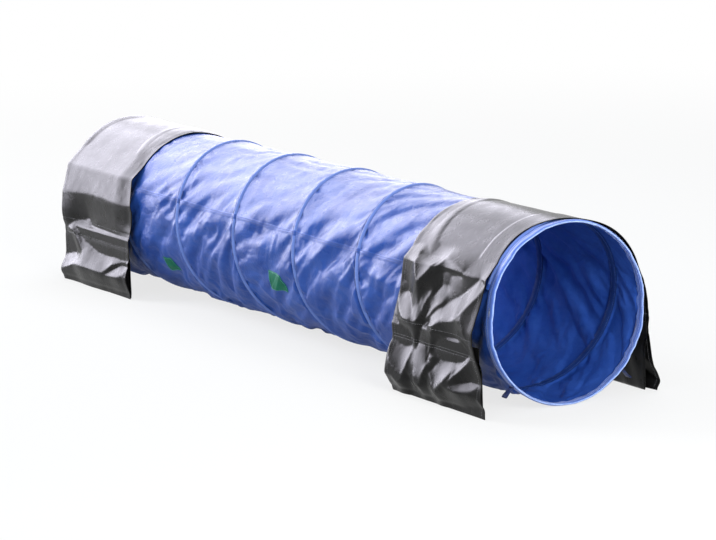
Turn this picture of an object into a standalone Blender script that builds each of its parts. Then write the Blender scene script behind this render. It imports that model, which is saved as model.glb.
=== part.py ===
"""Dog agility tunnel: a spiral-sprung fabric tube held down by two ballast saddles.

Units are metres and +Z is up. The tube lies along X with the near mouth at +X,
its underside rests on the ground at z = 0, and the origin is the middle of that
line on the ground. Angles around the tube are measured from its top towards -Y.
"""
import math

import bmesh
import bpy
from mathutils import Matrix, Vector

# Tube
tunnel_length = 3.0
tunnel_radius = 0.300
facets_around = 24
fabric_thickness = 0.0012
piece_gap = 0.0003

# Spring wire spiral and the tape that closes its sewn channel
spiral_turns = 7
run_in_turns = 0.145
wire_diameter = 0.004
wire_clearance = 0.0004
wire_end_inset = 0.020
end_cap_length = 0.012
end_cap_diameter = 0.0046
rib_half_width = 0.015
rib_height = 0.005
fabric_sag = 0.009
tape_half_width = 0.017
tape_thickness = 0.0010
tape_clearance = 0.0005
sag_row_shares = (0.30, 0.70)

# Lengthwise seams
near_seam_angle = math.radians(67.5)
top_panel_facets = 9
seam_tape_half_width = 0.010
seam_tape_thickness = 0.0010
seam_tape_clearance = 0.0012
panel_end_gap = 0.001

# Mouths
hem_width = 0.030
hem_depth = 0.0100
hem_slit = 0.006
ring_setback = 0.012
sleeve_length = 0.030
sleeve_diameter = 0.0070
sleeve_sides = 12
peg_tab_angle = math.radians(135.0)
peg_tab_width = 0.024
peg_tab_length = 0.045
peg_tab_thickness = 0.004

# Patches on the near flank: the flat that each lies on, its middle's distance from the near mouth,
# and its length along the tube
patch_lift = 0.0006
patch_thickness = 0.0010
patch_side_margin = 0.004
front_patch_facet = 21
front_patch_setback = 1.380
front_patch_length = 0.115
rear_patch_facet = 20
rear_patch_setback = 2.225
rear_patch_length = 0.060

# Ballast saddles
saddle_width = 0.540
front_saddle_setback = 0.008
rear_saddle_setback = 0.045
saddle_sheet_thickness = 0.0015
saddle_clearance = 0.004
saddle_columns = 20
ground_clearance = 0.0005
front_hug_corners = 4
front_shoulder_reach = 0.006
rear_hug_corners = 3
rear_shoulder_reach = 0.014
band_margin = 0.006
upper_row_shares = (0.32, 0.66)
lower_row_shares = (0.76, 0.48, 0.22)
fold_rise = 0.050
fold_leans = (-1.05, -0.30, 0.32, 1.15)
pleats_across = 4
pleat_floor = 0.45
fold_height = 0.010
pleat_height = 0.011
fold_width = 0.030

# Sand pockets
lift_clearance = 0.004
pocket_depth = 0.0245
pocket_wall = 0.0015
pocket_end_inset = 0.020
pocket_fill_height = 0.150
pocket_pinch_height = 0.026
closure_width = 0.045
closure_thickness = 0.0012
closure_end_inset = 0.020
closure_edge = 0.002
pocket_sheet_gap = 0.0005
sand_bag_gap = 0.0004
sand_bag_rounding = 0.006

# Values worked out from the dimensions above
axis_height = tunnel_radius
facet_angle = 2 * math.pi / facets_around
half_facet = facet_angle / 2
front_x = tunnel_length / 2
rib_margin = hem_width + panel_end_gap + tape_half_width
spiral_pitch = (tunnel_length - 2 * rib_margin) / (spiral_turns - run_in_turns)
run_in_blend = 0.010
tape_outer_radius = tunnel_radius - rib_height - fabric_thickness - tape_clearance
tape_inner_radius = tape_outer_radius - tape_thickness
wire_path_radius = tape_outer_radius + wire_clearance + wire_diameter / 2
facet_length = 2 * tunnel_radius * math.tan(half_facet)
seam_trim = piece_gap / facet_length
pocket_inner_y = tunnel_radius + lift_clearance
pocket_outer_y = pocket_inner_y + pocket_depth
sheet_flank_y = pocket_outer_y + pocket_sheet_gap
pocket_top = pocket_fill_height + pocket_pinch_height + closure_width + 2 * closure_edge
closure_slot = 2 * closure_thickness + 3 * piece_gap
band_top = pocket_top + band_margin
band_bottom = pocket_fill_height + pocket_pinch_height


def clear_scene():
    for old in list(bpy.data.objects):
        bpy.data.objects.remove(old, do_unlink=True)


def make_material(name, colour, roughness, metallic=0.0):
    material = bpy.data.materials.new(name)
    material.use_nodes = True
    shader = material.node_tree.nodes["Principled BSDF"]
    shader.inputs["Base Color"].default_value = (*colour, 1.0)
    shader.inputs["Roughness"].default_value = roughness
    shader.inputs["Metallic"].default_value = metallic
    material.diffuse_color = (*colour, 1.0)
    return material


def make_empty(name, place):
    empty = bpy.data.objects.new(name, None)
    empty.location = place
    bpy.context.scene.collection.objects.link(empty)
    return empty


def add_object(name, mesh, material, origin, parent=None):
    """Give a mesh built in world coordinates its own origin, and hang it on its parent."""
    mesh.transform(Matrix.Translation(-Vector(origin)))
    mesh.shade_smooth()
    mesh.set_sharp_from_angle(angle=math.radians(32))
    mesh.materials.append(material)
    piece = bpy.data.objects.new(name, mesh)
    bpy.context.scene.collection.objects.link(piece)
    piece.location = Vector(origin)
    if parent:
        piece.parent = parent
        piece.location = Vector(origin) - parent.location
    return piece


def mesh_from(name, points, faces):
    mesh = bpy.data.meshes.new(name)
    work = bmesh.new()
    corners = [work.verts.new(point) for point in points]
    for face in faces:
        work.faces.new([corners[index] for index in face])
    bmesh.ops.recalc_face_normals(work, faces=work.faces)
    work.to_mesh(mesh)
    work.free()
    return mesh


def grid_solid(name, outer, inner):
    """Close a sheet between two grids of points, [column][row], with the same diagonals on both."""
    columns = len(outer)
    rows = len(outer[0])
    points = [point for column in outer for point in column]
    points += [point for column in inner for point in column]
    half = columns * rows

    def at(column, row, layer=0):
        return layer * half + column * rows + row

    faces = []
    for column in range(columns - 1):
        for row in range(rows - 1):
            for layer in (0, 1):
                a = at(column, row, layer)
                b = at(column + 1, row, layer)
                c = at(column + 1, row + 1, layer)
                d = at(column, row + 1, layer)
                faces.append((a, b, c))
                faces.append((a, c, d))
    for column in range(columns - 1):
        for row in (0, rows - 1):
            faces.append((at(column, row), at(column + 1, row), at(column + 1, row, 1), at(column, row, 1)))
    for row in range(rows - 1):
        for column in (0, columns - 1):
            faces.append((at(column, row), at(column, row + 1), at(column, row + 1, 1), at(column, row, 1)))
    return mesh_from(name, points, faces)


def prism(name, profile, start_x, end_x):
    """Extrude a closed (y, z) outline along X."""
    count = len(profile)
    points = [(start_x, y, z) for y, z in profile] + [(end_x, y, z) for y, z in profile]
    faces = [tuple(range(count)), tuple(range(count, 2 * count))]
    for index in range(count):
        after = (index + 1) % count
        faces.append((index, after, count + after, count + index))
    return mesh_from(name, points, faces)


def station_angle(station):
    """Angle of a whole station: station 0 is the near seam, and they run over the top to the far side."""
    return near_seam_angle - station * facet_angle


def around(radius, angle):
    """(y, z) of a point at a distance from the tube's axis."""
    return -radius * math.sin(angle), axis_height + radius * math.cos(angle)


def on_facets(radius, station):
    """(y, z) on a facet ring whose flats stand at this radius; between stations it lies on the flat."""
    whole = math.floor(station)
    share = station - whole
    corner_radius = radius / math.cos(half_facet)
    y0, z0 = around(corner_radius, station_angle(whole))
    y1, z1 = around(corner_radius, station_angle(whole + 1))
    return y0 + (y1 - y0) * share, z0 + (z1 - z0) * share


def tube_point(setback, radius, station):
    y, z = on_facets(radius, station)
    return Vector((front_x - setback, y, z))


def rib_setback(turns):
    """Distance of the wire from the near mouth after this many turns from the near seam.

    The first part of the wire lies along the hem, and then it climbs by one pitch a turn.
    """
    climb = spiral_pitch * (turns - run_in_turns)
    blended = (climb + math.sqrt(climb * climb + run_in_blend ** 2)) / 2
    return rib_margin + blended


def span_rows(start, end):
    """Fabric rows strictly between two ribs, sagging in proportion to the free width."""
    depth = rib_height + (fabric_sag - rib_height) * min(1.0, (end - start) / spiral_pitch * 2)
    return [(start + (end - start) * share, depth) for share in sag_row_shares]


def wall_rows(station):
    """(setback, depth below the rib tops) of the fabric's rows at a whole station."""
    first = hem_width + panel_end_gap
    last = tunnel_length - first
    rows = [(first, rib_height)]
    before = first
    for rib in range(spiral_turns):
        middle = rib_setback(rib + station / facets_around)
        foot = middle - rib_half_width
        shares = span_rows(before, foot)
        if rib == 0:
            shares = shares[1:]
        rows += shares
        rows += [(foot, rib_height), (middle, 0.0), (middle + rib_half_width, rib_height)]
        before = middle + rib_half_width
    rows += span_rows(before, last)[:1]
    rows.append((last, rib_height))
    return rows


def wall_point(row, station, inset):
    """A point of the fabric wall at any station, an inset below its outer face."""
    whole = math.floor(station)
    share = station - whole
    corners = []
    for at_station in (whole, whole + 1):
        setback, depth = wall_rows(at_station)[row]
        corners.append(tube_point(setback, tunnel_radius - depth - inset, at_station))
    return corners[0].lerp(corners[1], share)


def trimmed_stations(first, last):
    inner = list(range(first + 1, last))
    return [first + seam_trim] + inner + [last - seam_trim]


def make_wall_panel(name, first, last, material):
    stations = trimmed_stations(first, last)
    row_count = len(wall_rows(0))
    outer = [[wall_point(row, s, 0.0) for row in range(row_count)] for s in stations]
    inner = [[wall_point(row, s, fabric_thickness) for row in range(row_count)] for s in stations]
    mesh = grid_solid(name, outer, inner)
    return add_object(name, mesh, material, (0.0, 0.0, axis_height))


def make_casing_tape(number, material):
    """The tape sewn inside the wall over one turn of wire, cut at the near seam."""
    name = "casing_tape_%d" % (number + 1)
    outer = []
    inner = []
    for station in trimmed_stations(0, facets_around):
        whole = math.floor(station)
        share = station - whole
        start = rib_setback(number + whole / facets_around)
        end = rib_setback(number + (whole + 1) / facets_around)
        middle = start + (end - start) * share
        edges = (middle - tape_half_width, middle + tape_half_width)
        outer.append([tube_point(edge, tape_outer_radius, station) for edge in edges])
        inner.append([tube_point(edge, tape_inner_radius, station) for edge in edges])
    mesh = grid_solid(name, outer, inner)
    return add_object(name, mesh, material, (0.0, 0.0, axis_height))


def radius_at(rows, setback):
    """Outer radius of the fabric at a distance from the near mouth, on one station's rows."""
    for (s0, d0), (s1, d1) in zip(rows, rows[1:]):
        if s0 <= setback <= s1:
            share = (setback - s0) / (s1 - s0)
            return tunnel_radius - (d0 + (d1 - d0) * share)
    return tunnel_radius - rib_height


def make_seam_tape(name, station, neighbour_station, material):
    """A tape over a lengthwise seam, clear of the ribs of both panels."""
    sides = (wall_rows(station), wall_rows(neighbour_station))
    setbacks = sorted({round(setback, 6) for rows in sides for setback, depth in rows})
    spread = seam_tape_half_width / facet_length
    outer = []
    inner = []
    for offset in (-spread, 0.0, spread):
        outer_row = []
        inner_row = []
        for setback in setbacks:
            radius = max(radius_at(rows, setback) for rows in sides) + seam_tape_clearance
            inner_row.append(tube_point(setback, radius, station + offset))
            outer_row.append(tube_point(setback, radius + seam_tape_thickness, station + offset))
        outer.append(outer_row)
        inner.append(inner_row)
    mesh = grid_solid(name, outer, inner)
    return add_object(name, mesh, material, (0.0, *around(tunnel_radius, station_angle(station))))


def wire_points():
    """The spiral's centre line: a corner at each station, and its two ends short of the near seam."""
    end_share = wire_end_inset / facet_length
    last = spiral_turns * facets_around
    stations = [end_share] + list(range(1, last)) + [last - end_share]
    points = []
    for station in stations:
        points.append(tube_point(rib_setback(station / facets_around), wire_path_radius, station))
    return points


def tube_curve(name, points, diameter, cyclic, material, origin, parent=None):
    """A round wire along a chain of points, as a curve with a bevel and filled caps."""
    curve = bpy.data.curves.new(name, "CURVE")
    curve.dimensions = "3D"
    spline = curve.splines.new("POLY")
    spline.points.add(len(points) - 1)
    for spline_point, point in zip(spline.points, points):
        spline_point.co = (*(Vector(point) - Vector(origin)), 1.0)
    spline.use_cyclic_u = cyclic
    spline.use_smooth = True
    curve.bevel_depth = diameter / 2
    curve.bevel_resolution = 1
    curve.use_fill_caps = True
    curve.materials.append(material)
    piece = bpy.data.objects.new(name, curve)
    bpy.context.scene.collection.objects.link(piece)
    piece.location = Vector(origin)
    if parent:
        piece.parent = parent
        piece.location = Vector(origin) - parent.location
    return piece


def least_self_gap(points, diameter, neighbours):
    """Smallest distance between the wire's turns, from surface to surface."""
    least = math.inf
    for index, point in enumerate(points):
        for other in points[index + neighbours:]:
            least = min(least, (point - other).length - diameter)
    return least


def make_spiral_wire(material):
    points = wire_points()
    gap = least_self_gap(points, wire_diameter, facets_around // 2)
    print("spiral wire: %d turns, least gap to itself %.1f mm" % (spiral_turns, gap * 1000))
    return tube_curve("spiral_wire", points, wire_diameter, False, material, (0.0, 0.0, axis_height))


def cylinder_between(name, start, end, diameter, material, origin, parent=None, bore=0.0):
    """A plain round piece along one facet, with a through bore where one is given."""
    mesh = bpy.data.meshes.new(name)
    work = bmesh.new()
    direction = end - start
    turn = direction.to_track_quat("Z", "Y").to_matrix().to_4x4()
    place = Matrix.Translation((start + end) / 2) @ turn
    rings = []
    for radius in [diameter / 2] + ([bore / 2] if bore else []):
        for height in (-direction.length / 2, direction.length / 2):
            made = bmesh.ops.create_circle(work, segments=sleeve_sides, radius=radius,
                                           matrix=place
                                           @ Matrix.Translation((0, 0, height)))
            rings.append(made["verts"])
    pairs = [(0, 1), (2, 3), (0, 2), (1, 3)] if bore else [(0, 1)]
    for one, two in pairs:
        for index in range(sleeve_sides):
            after = (index + 1) % sleeve_sides
            work.faces.new((rings[one][index], rings[one][after], rings[two][after], rings[two][index]))
    if not bore:
        work.faces.new(rings[0])
        work.faces.new(rings[1])
    bmesh.ops.recalc_face_normals(work, faces=work.faces)
    work.to_mesh(mesh)
    work.free()
    return add_object(name, mesh, material, origin, parent)


def make_wire_cap(name, station_from, station_to, material, parent=None):
    turns = (station_from + station_to) / 2 / facets_around
    start = tube_point(rib_setback(turns), wire_path_radius, station_from)
    end = tube_point(rib_setback(turns), wire_path_radius, station_to)
    origin = (start + end) / 2
    return cylinder_between(name, start, end, end_cap_diameter, material, origin, parent)


def make_hem(name, setback, direction, material, origin, parent=None):
    """The sewn sleeve round a mouth: a C profile turned about the tube's axis, open at a slit inside."""
    outer = tunnel_radius
    inner = tunnel_radius - hem_depth
    wall = fabric_thickness
    edge = hem_width
    profile = [
        (0.0, outer), (edge, outer), (edge, inner), (edge - wall, inner), (edge - wall, outer - wall),
        (wall, outer - wall), (wall, inner + wall), (edge - wall - hem_slit, inner + wall),
        (edge - wall - hem_slit, inner), (0.0, inner),
    ]
    points = []
    faces = []
    count = len(profile)
    for station in range(facets_around):
        for along, radius in profile:
            points.append(tube_point(setback + direction * along, radius, station))
    for station in range(facets_around):
        after = (station + 1) % facets_around
        for index in range(count):
            next_index = (index + 1) % count
            faces.append((station * count + index, after * count + index,
                          after * count + next_index, station * count + next_index))
    return add_object(name, mesh_from(name, points, faces), material, origin, parent)


def ring_radius():
    return tunnel_radius - hem_depth / 2


def make_mouth(prefix, setback, direction, materials, origin, parent=None):
    """Hem, closed end ring, its crimp sleeve and two peg tabs at one mouth."""
    make_hem(prefix + "_hem", setback, direction, materials["hem"], origin, parent)
    ring_at = setback + direction * ring_setback
    ring_points = [tube_point(ring_at, ring_radius(), station) for station in range(facets_around)]
    tube_curve(prefix + "_ring", ring_points, wire_diameter, True, materials["wire"], origin, parent)
    low = facets_around // 2
    middle = tube_point(ring_at, ring_radius(), low + 0.5)
    along = (tube_point(ring_at, ring_radius(), low + 1) - middle).normalized()
    start = middle - along * sleeve_length / 2
    end = middle + along * sleeve_length / 2
    bore = wire_diameter + 2 * piece_gap
    cylinder_between(prefix + "_ring_sleeve", start, end, sleeve_diameter, materials["sleeve"],
                     middle, parent, bore)
    for side, sign in (("near", 1.0), ("far", -1.0)):
        make_peg_tab(prefix + "_" + side + "_peg_tab", setback + direction * hem_width / 2,
                     sign * peg_tab_angle, materials["tab"], parent)


def make_peg_tab(name, setback, angle, material, parent):
    """A folded webbing tab standing out from the hem."""
    root = tunnel_radius + piece_gap
    tangent = Vector((0.0, -math.cos(angle), -math.sin(angle)))
    corners = []
    for along in (-peg_tab_width / 2, peg_tab_width / 2):
        for radius in (root, root + peg_tab_length):
            for side in (-peg_tab_thickness / 2, peg_tab_thickness / 2):
                y, z = around(radius, angle)
                corners.append(Vector((front_x - setback + along, y, z)) + tangent * side)
    faces = [(0, 1, 3, 2), (4, 6, 7, 5), (0, 4, 5, 1), (2, 3, 7, 6), (0, 2, 6, 4), (1, 5, 7, 3)]
    origin = Vector((front_x - setback, *around(root, angle)))
    return add_object(name, mesh_from(name, corners, faces), material, origin, parent)


def make_patch(name, facet, setback, length, material):
    """A plain patch sewn on one flat of the near flank, as high as the wall under it."""
    sides = (wall_rows(facet), wall_rows(facet + 1))
    start = setback - length / 2
    end = setback + length / 2
    between = {round(row, 6) for rows in sides for row, depth in rows if start < row < end}
    setbacks = [start] + sorted(between) + [end]
    margin = patch_side_margin / facet_length
    outer = []
    inner = []
    for station in (facet + margin, facet + 1 - margin):
        outer_row = []
        inner_row = []
        for at in setbacks:
            radius = max(radius_at(rows, at) for rows in sides) + patch_lift
            inner_row.append(tube_point(at, radius, station))
            outer_row.append(tube_point(at, radius + patch_thickness, station))
        outer.append(outer_row)
        inner.append(inner_row)
    origin = tube_point(setback, tunnel_radius, facet + 0.5)
    return add_object(name, grid_solid(name, outer, inner), material, origin)


def bump(distance, width):
    return math.exp(-(distance / width) ** 2)


def fold_offset(height, shoulder_z, share, pull_share, side):
    """How far a saddle's flank stands out: rays from a pull point, and pleats round the sand."""
    if height >= band_top:
        rise = height - band_top
        fade = min(1.0, rise / fold_rise) * (shoulder_z - height) / (shoulder_z - band_top)
        run = (share - pull_share) * saddle_width
        rays = sum(bump(run - side * lean * rise, fold_width) for lean in fold_leans)
        return fold_height * fade * min(1.0, rays)
    if height <= band_bottom:
        swell = math.sin(math.pi * height / band_bottom)
        pleat = 0.5 + 0.5 * math.cos(2 * math.pi * pleats_across * share)
        return pleat_height * swell * (pleat_floor + (1 - pleat_floor) * pleat)
    return 0.0


def saddle_section(hug_corners, shoulder_reach):
    """(y, z, normal y, normal z) of the sheet's inner face on the +Y half, from the top facet down.

    The sheet hugs the tube's corners, leaves along the next flat, turns at the shoulder
    and hangs down to the ground.
    """
    rows = []
    corner_radius = (tunnel_radius + saddle_clearance) / math.cos(half_facet)
    for corner in range(hug_corners):
        angle = half_facet + corner * facet_angle
        y, z = around(corner_radius, -angle)
        rows.append((y, z, math.sin(angle), math.cos(angle)))
    slope = hug_corners * facet_angle
    last_y, last_z = rows[-1][:2]
    shoulder_y = tunnel_radius + shoulder_reach
    shoulder_z = last_z - (shoulder_y - last_y) * math.tan(slope)
    lean = (math.pi / 2 - slope) / 2
    rows.append((shoulder_y, shoulder_z, math.cos(lean), math.sin(lean)))
    heights = [shoulder_z + (band_top - shoulder_z) * share for share in upper_row_shares]
    heights += [band_top, band_bottom]
    heights += [band_bottom * share for share in lower_row_shares]
    for height in heights:
        share = min(1.0, (shoulder_z - height) / (shoulder_z - band_top))
        rows.append((shoulder_y + (sheet_flank_y - shoulder_y) * share, height, 1.0, 0.0))
    rows.append((sheet_flank_y, ground_clearance, 1.0, 0.0))
    return rows, shoulder_z


def make_saddle_sheet(name, start_setback, hug_corners, shoulder_reach, pulls, material, origin, parent):
    half, shoulder_z = saddle_section(hug_corners, shoulder_reach)
    section = [(-y, z, -ny, nz) for y, z, ny, nz in reversed(half)] + half
    outer = []
    inner = []
    for column in range(saddle_columns + 1):
        share = column / saddle_columns
        x = front_x - start_setback - share * saddle_width
        outer_row = []
        inner_row = []
        for y, z, ny, nz in section:
            offset = 0.0
            if z <= shoulder_z:
                side = 1 if y > 0 else -1
                offset = fold_offset(z - ground_clearance, shoulder_z, share, pulls[side], side)
            point = Vector((x, y, z))
            normal = Vector((0.0, ny, nz))
            inner_row.append(point + normal * offset)
            outer_row.append(point + normal * (offset + saddle_sheet_thickness))
        outer.append(outer_row)
        inner.append(inner_row)
    return add_object(name, grid_solid(name, outer, inner), material, origin, parent)


def pocket_profile(grow):
    """Closed (y, z) outline of a pocket: grow is 0 outside, and minus the wall for the hollow."""
    pinch_y = pocket_outer_y - 2 * pocket_wall - closure_slot
    pinch_z = pocket_fill_height + pocket_pinch_height
    top = pocket_top
    if grow < 0:
        top += 0.01
    return [
        (pocket_inner_y - grow, -grow), (pocket_outer_y + grow, -grow),
        (pocket_outer_y + grow, top), (pinch_y - grow, top),
        (pinch_y - grow, pinch_z), (pocket_inner_y - grow, pocket_fill_height),
    ]


def make_pocket(name, sign, start_x, end_x, material, origin, parent):
    """An open-topped pouch, wide round the sand and pinched to a slot at the closure."""
    shell = prism(name, [(sign * y, z) for y, z in pocket_profile(0.0)], start_x, end_x)
    piece = add_object(name, shell, material, origin, parent)
    hollow = [(sign * y, z) for y, z in pocket_profile(-pocket_wall)]
    cutter_mesh = prism(name + "_hollow", hollow, start_x + pocket_wall, end_x - pocket_wall)
    cutter = add_object(name + "_hollow", cutter_mesh, material, origin, parent)
    cutter.hide_render = True
    cutter.display_type = "WIRE"
    cut = piece.modifiers.new("hollow", "BOOLEAN")
    cut.operation = "DIFFERENCE"
    cut.solver = "EXACT"
    cut.object = cutter
    return piece


def make_sand_bag(name, sign, start_x, end_x, material, origin, parent):
    inset = pocket_wall + sand_bag_gap
    low_y = pocket_inner_y + inset
    high_y = pocket_outer_y - inset
    profile = [(sign * low_y, inset), (sign * high_y, inset),
               (sign * high_y, pocket_fill_height - inset), (sign * low_y, pocket_fill_height - inset)]
    mesh = prism(name, profile, start_x + inset, end_x - inset)
    piece = add_object(name, mesh, material, origin, parent)
    rounding = piece.modifiers.new("rounding", "BEVEL")
    rounding.width = sand_bag_rounding
    rounding.segments = 2
    return piece


def make_closure_strip(name, sign, inner_y, start_x, end_x, material, origin, parent):
    low = pocket_fill_height + pocket_pinch_height + closure_edge
    high = low + closure_width
    outer_y = inner_y + closure_thickness
    profile = [(sign * inner_y, low), (sign * outer_y, low), (sign * outer_y, high), (sign * inner_y, high)]
    mesh = prism(name, profile, start_x + closure_end_inset, end_x - closure_end_inset)
    return add_object(name, mesh, material, origin, parent)


def make_saddle(prefix, start_setback, hug_corners, shoulder_reach, pulls, materials):
    """One ballast saddle: the sheet over the tube, and a sand pocket with its closure on each side."""
    middle_x = front_x - start_setback - saddle_width / 2
    parent = make_empty(prefix + "_lift", (middle_x, 0.0, 0.0))
    make_saddle_sheet(prefix + "_sheet", start_setback, hug_corners, shoulder_reach, pulls,
                      materials["tarpaulin"], (middle_x, 0.0, 0.0), parent)
    start_x = middle_x - saddle_width / 2 + pocket_end_inset
    end_x = middle_x + saddle_width / 2 - pocket_end_inset
    loop_y = pocket_outer_y - pocket_wall - closure_slot + piece_gap
    hook_y = loop_y + closure_thickness + piece_gap
    for side, sign in (("near", -1.0), ("far", 1.0)):
        origin = (middle_x, sign * pocket_inner_y, 0.0)
        name = prefix + "_" + side
        make_pocket(name + "_pocket", sign, start_x, end_x, materials["tarpaulin"], origin, parent)
        make_sand_bag(name + "_sand_bag", sign, start_x, end_x, materials["sand"], origin, parent)
        make_closure_strip(name + "_loop_strip", sign, loop_y, start_x, end_x,
                           materials["closure"], origin, parent)
        make_closure_strip(name + "_hook_strip", sign, hook_y, start_x, end_x,
                           materials["closure"], origin, parent)


def main():
    clear_scene()
    materials = {
        "fabric": make_material("tunnel_fabric", (0.10, 0.19, 0.60), 0.42),
        "hem": make_material("hem_fabric", (0.16, 0.30, 0.74), 0.45),
        "tape": make_material("casing_tape", (0.08, 0.15, 0.52), 0.55),
        "seam": make_material("seam_tape", (0.12, 0.23, 0.66), 0.48),
        "wire": make_material("coated_spring_wire", (0.30, 0.32, 0.36), 0.35, 0.8),
        "sleeve": make_material("crimp_sleeve", (0.62, 0.63, 0.65), 0.30, 1.0),
        "cap": make_material("wire_cap", (0.05, 0.05, 0.06), 0.50),
        "tab": make_material("webbing", (0.04, 0.06, 0.22), 0.75),
        "patch": make_material("patch", (0.02, 0.36, 0.24), 0.55),
        "tarpaulin": make_material("tarpaulin", (0.09, 0.09, 0.10), 0.28),
        "sand": make_material("sand_bag", (0.55, 0.47, 0.33), 0.90),
        "closure": make_material("hook_and_loop", (0.03, 0.03, 0.03), 0.95),
    }
    far_seam = top_panel_facets
    make_wall_panel("top_panel", 0, far_seam, materials["fabric"])
    make_wall_panel("bottom_panel", far_seam, facets_around, materials["fabric"])
    make_seam_tape("near_seam_tape", 0, facets_around, materials["seam"])
    make_seam_tape("far_seam_tape", far_seam, far_seam, materials["seam"])
    for number in range(spiral_turns):
        make_casing_tape(number, materials["tape"])
    make_spiral_wire(materials["wire"])
    make_patch("front_patch", front_patch_facet, front_patch_setback, front_patch_length,
               materials["patch"])
    make_patch("rear_patch", rear_patch_facet, rear_patch_setback, rear_patch_length,
               materials["patch"])

    make_mouth("front", 0.0, 1.0, materials, (front_x, 0.0, axis_height))
    rear = make_empty("rear_mouth_slide", (-front_x, 0.0, axis_height))
    make_mouth("rear", tunnel_length, -1.0, materials, (-front_x, 0.0, axis_height), rear)

    last = spiral_turns * facets_around
    outer_share = (wire_end_inset - piece_gap) / facet_length
    inner_share = outer_share - end_cap_length / facet_length
    make_wire_cap("front_wire_cap", inner_share, outer_share, materials["cap"])
    make_wire_cap("rear_wire_cap", last - outer_share, last - inner_share, materials["cap"], rear)

    make_saddle("front_saddle", front_saddle_setback, front_hug_corners, front_shoulder_reach,
                {-1: 0.63, 1: 0.42}, materials)
    rear_start = tunnel_length - rear_saddle_setback - saddle_width
    make_saddle("rear_saddle", rear_start, rear_hug_corners, rear_shoulder_reach,
                {-1: 0.55, 1: 0.38}, materials)


main()
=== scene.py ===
# Dog agility tunnel: a spiral sprung cloth tube held down by two tarpaulin saddles with sand pouches.
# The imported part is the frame. This script dresses it with settled cloth, stitching and woven materials.

import math

import bpy
import numpy as np
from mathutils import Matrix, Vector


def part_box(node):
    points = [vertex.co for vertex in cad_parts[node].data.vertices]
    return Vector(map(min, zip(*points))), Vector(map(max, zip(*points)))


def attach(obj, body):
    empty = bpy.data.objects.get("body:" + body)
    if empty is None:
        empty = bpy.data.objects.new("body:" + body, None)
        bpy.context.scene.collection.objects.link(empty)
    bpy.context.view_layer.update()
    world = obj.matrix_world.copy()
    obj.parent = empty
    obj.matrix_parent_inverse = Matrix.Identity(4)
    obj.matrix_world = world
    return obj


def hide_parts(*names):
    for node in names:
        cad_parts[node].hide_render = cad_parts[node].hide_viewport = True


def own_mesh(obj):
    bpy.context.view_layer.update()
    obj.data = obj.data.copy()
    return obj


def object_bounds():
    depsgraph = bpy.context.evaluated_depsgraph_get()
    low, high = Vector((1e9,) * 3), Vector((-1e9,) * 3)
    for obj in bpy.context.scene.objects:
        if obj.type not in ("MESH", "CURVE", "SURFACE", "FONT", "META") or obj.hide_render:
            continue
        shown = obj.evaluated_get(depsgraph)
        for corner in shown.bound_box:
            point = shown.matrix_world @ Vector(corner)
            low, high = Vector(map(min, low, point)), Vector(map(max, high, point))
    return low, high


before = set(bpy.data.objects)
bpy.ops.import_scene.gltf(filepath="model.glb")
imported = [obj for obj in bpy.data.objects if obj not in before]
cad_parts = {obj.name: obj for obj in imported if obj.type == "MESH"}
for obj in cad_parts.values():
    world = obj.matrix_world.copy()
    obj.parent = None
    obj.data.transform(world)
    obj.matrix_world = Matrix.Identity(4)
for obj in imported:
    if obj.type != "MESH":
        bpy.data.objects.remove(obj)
cad_low, cad_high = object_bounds()

# Tube, in metres. A place on its wall is a setback behind the front mouth, and an angle from the near
# seam, which runs over the top to the far side.
front_x = cad_high.x
tube_length = cad_high.x - cad_low.x
axis_height = 0.300
rib_radius = 0.300
rib_foot_radius = 0.2957
dip_radius = 0.2905
near_seam_from_top = math.radians(67.5)
far_seam = math.radians(135)
full_turn = 2 * math.pi
wall_start = 0.031
wall_end = tube_length - wall_start
cloth_limit_radius = 0.3024
collapse_travel = 2.88
closed_length = tube_length - collapse_travel

# The spiral of spring wire and its casing
spiral_turns = 7
run_in_turns = 0.145
rib_margin = 0.048
run_in_blend = 0.01
casing_half_width = 0.015
casing_sewing = 0.0106
casing_lift = 0.0006
groove_depth = 0.0020
groove_width = 0.0016
over_wire_width = 0.0064
wire_radius = 0.002
wire_path_radius = 0.2957
wire_start = 0.020 / rib_radius
tape_outer_radius = 0.2933
tape_inner_radius = 0.2923
tape_half_width = 0.017

# Cloth nets
fine_step = 0.0075
net_rounds = ((0.030, 110), (0.015, 90), (fine_step, 45))

random = np.random.default_rng(11)


def rib_setback(turns):
    """How far behind the front mouth the spiral lies, turns being counted from the near seam."""
    pitch = (tube_length - 2 * rib_margin) / (spiral_turns - run_in_turns)
    climb = pitch * (turns - run_in_turns)
    return rib_margin + (climb + np.sqrt(climb**2 + run_in_blend**2)) / 2


def grid_of(*parts):
    """One grid of points, or of places on a map, from values that are stretched over it."""
    return np.stack(np.broadcast_arrays(*parts), axis=-1)


def on_tube(setback, angle, radius):
    """A point in the frame, from a place on the tube and a distance from its axis."""
    from_top = near_seam_from_top - angle
    return grid_of(front_x - setback, -radius * np.sin(from_top), axis_height + radius * np.cos(from_top))


def way_from_top(angle):
    """How far round the tube a place lies from the crest, on either side."""
    return np.abs(np.angle(np.exp(1j * (near_seam_from_top - angle))))


def smooth_step(low, high, value):
    share = np.clip((value - low) / (high - low), 0, 1)
    return share * share * (3 - 2 * share)


def hill(distance, half_width):
    """1 on a line, falling to 0 at half_width from it."""
    return 1 - smooth_step(0, half_width, np.abs(distance))


def bell(distance, width):
    """1 on a line, falling away ever more slowly on both sides of it."""
    return np.exp(-((distance / width) ** 2))


# Grids of points


def cubic_weights(share):
    return (
        -0.5 * share + share**2 - 0.5 * share**3,
        1 - 2.5 * share**2 + 1.5 * share**3,
        0.5 * share + 2 * share**2 - 1.5 * share**3,
        -0.5 * share**2 + 0.5 * share**3,
    )


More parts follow.
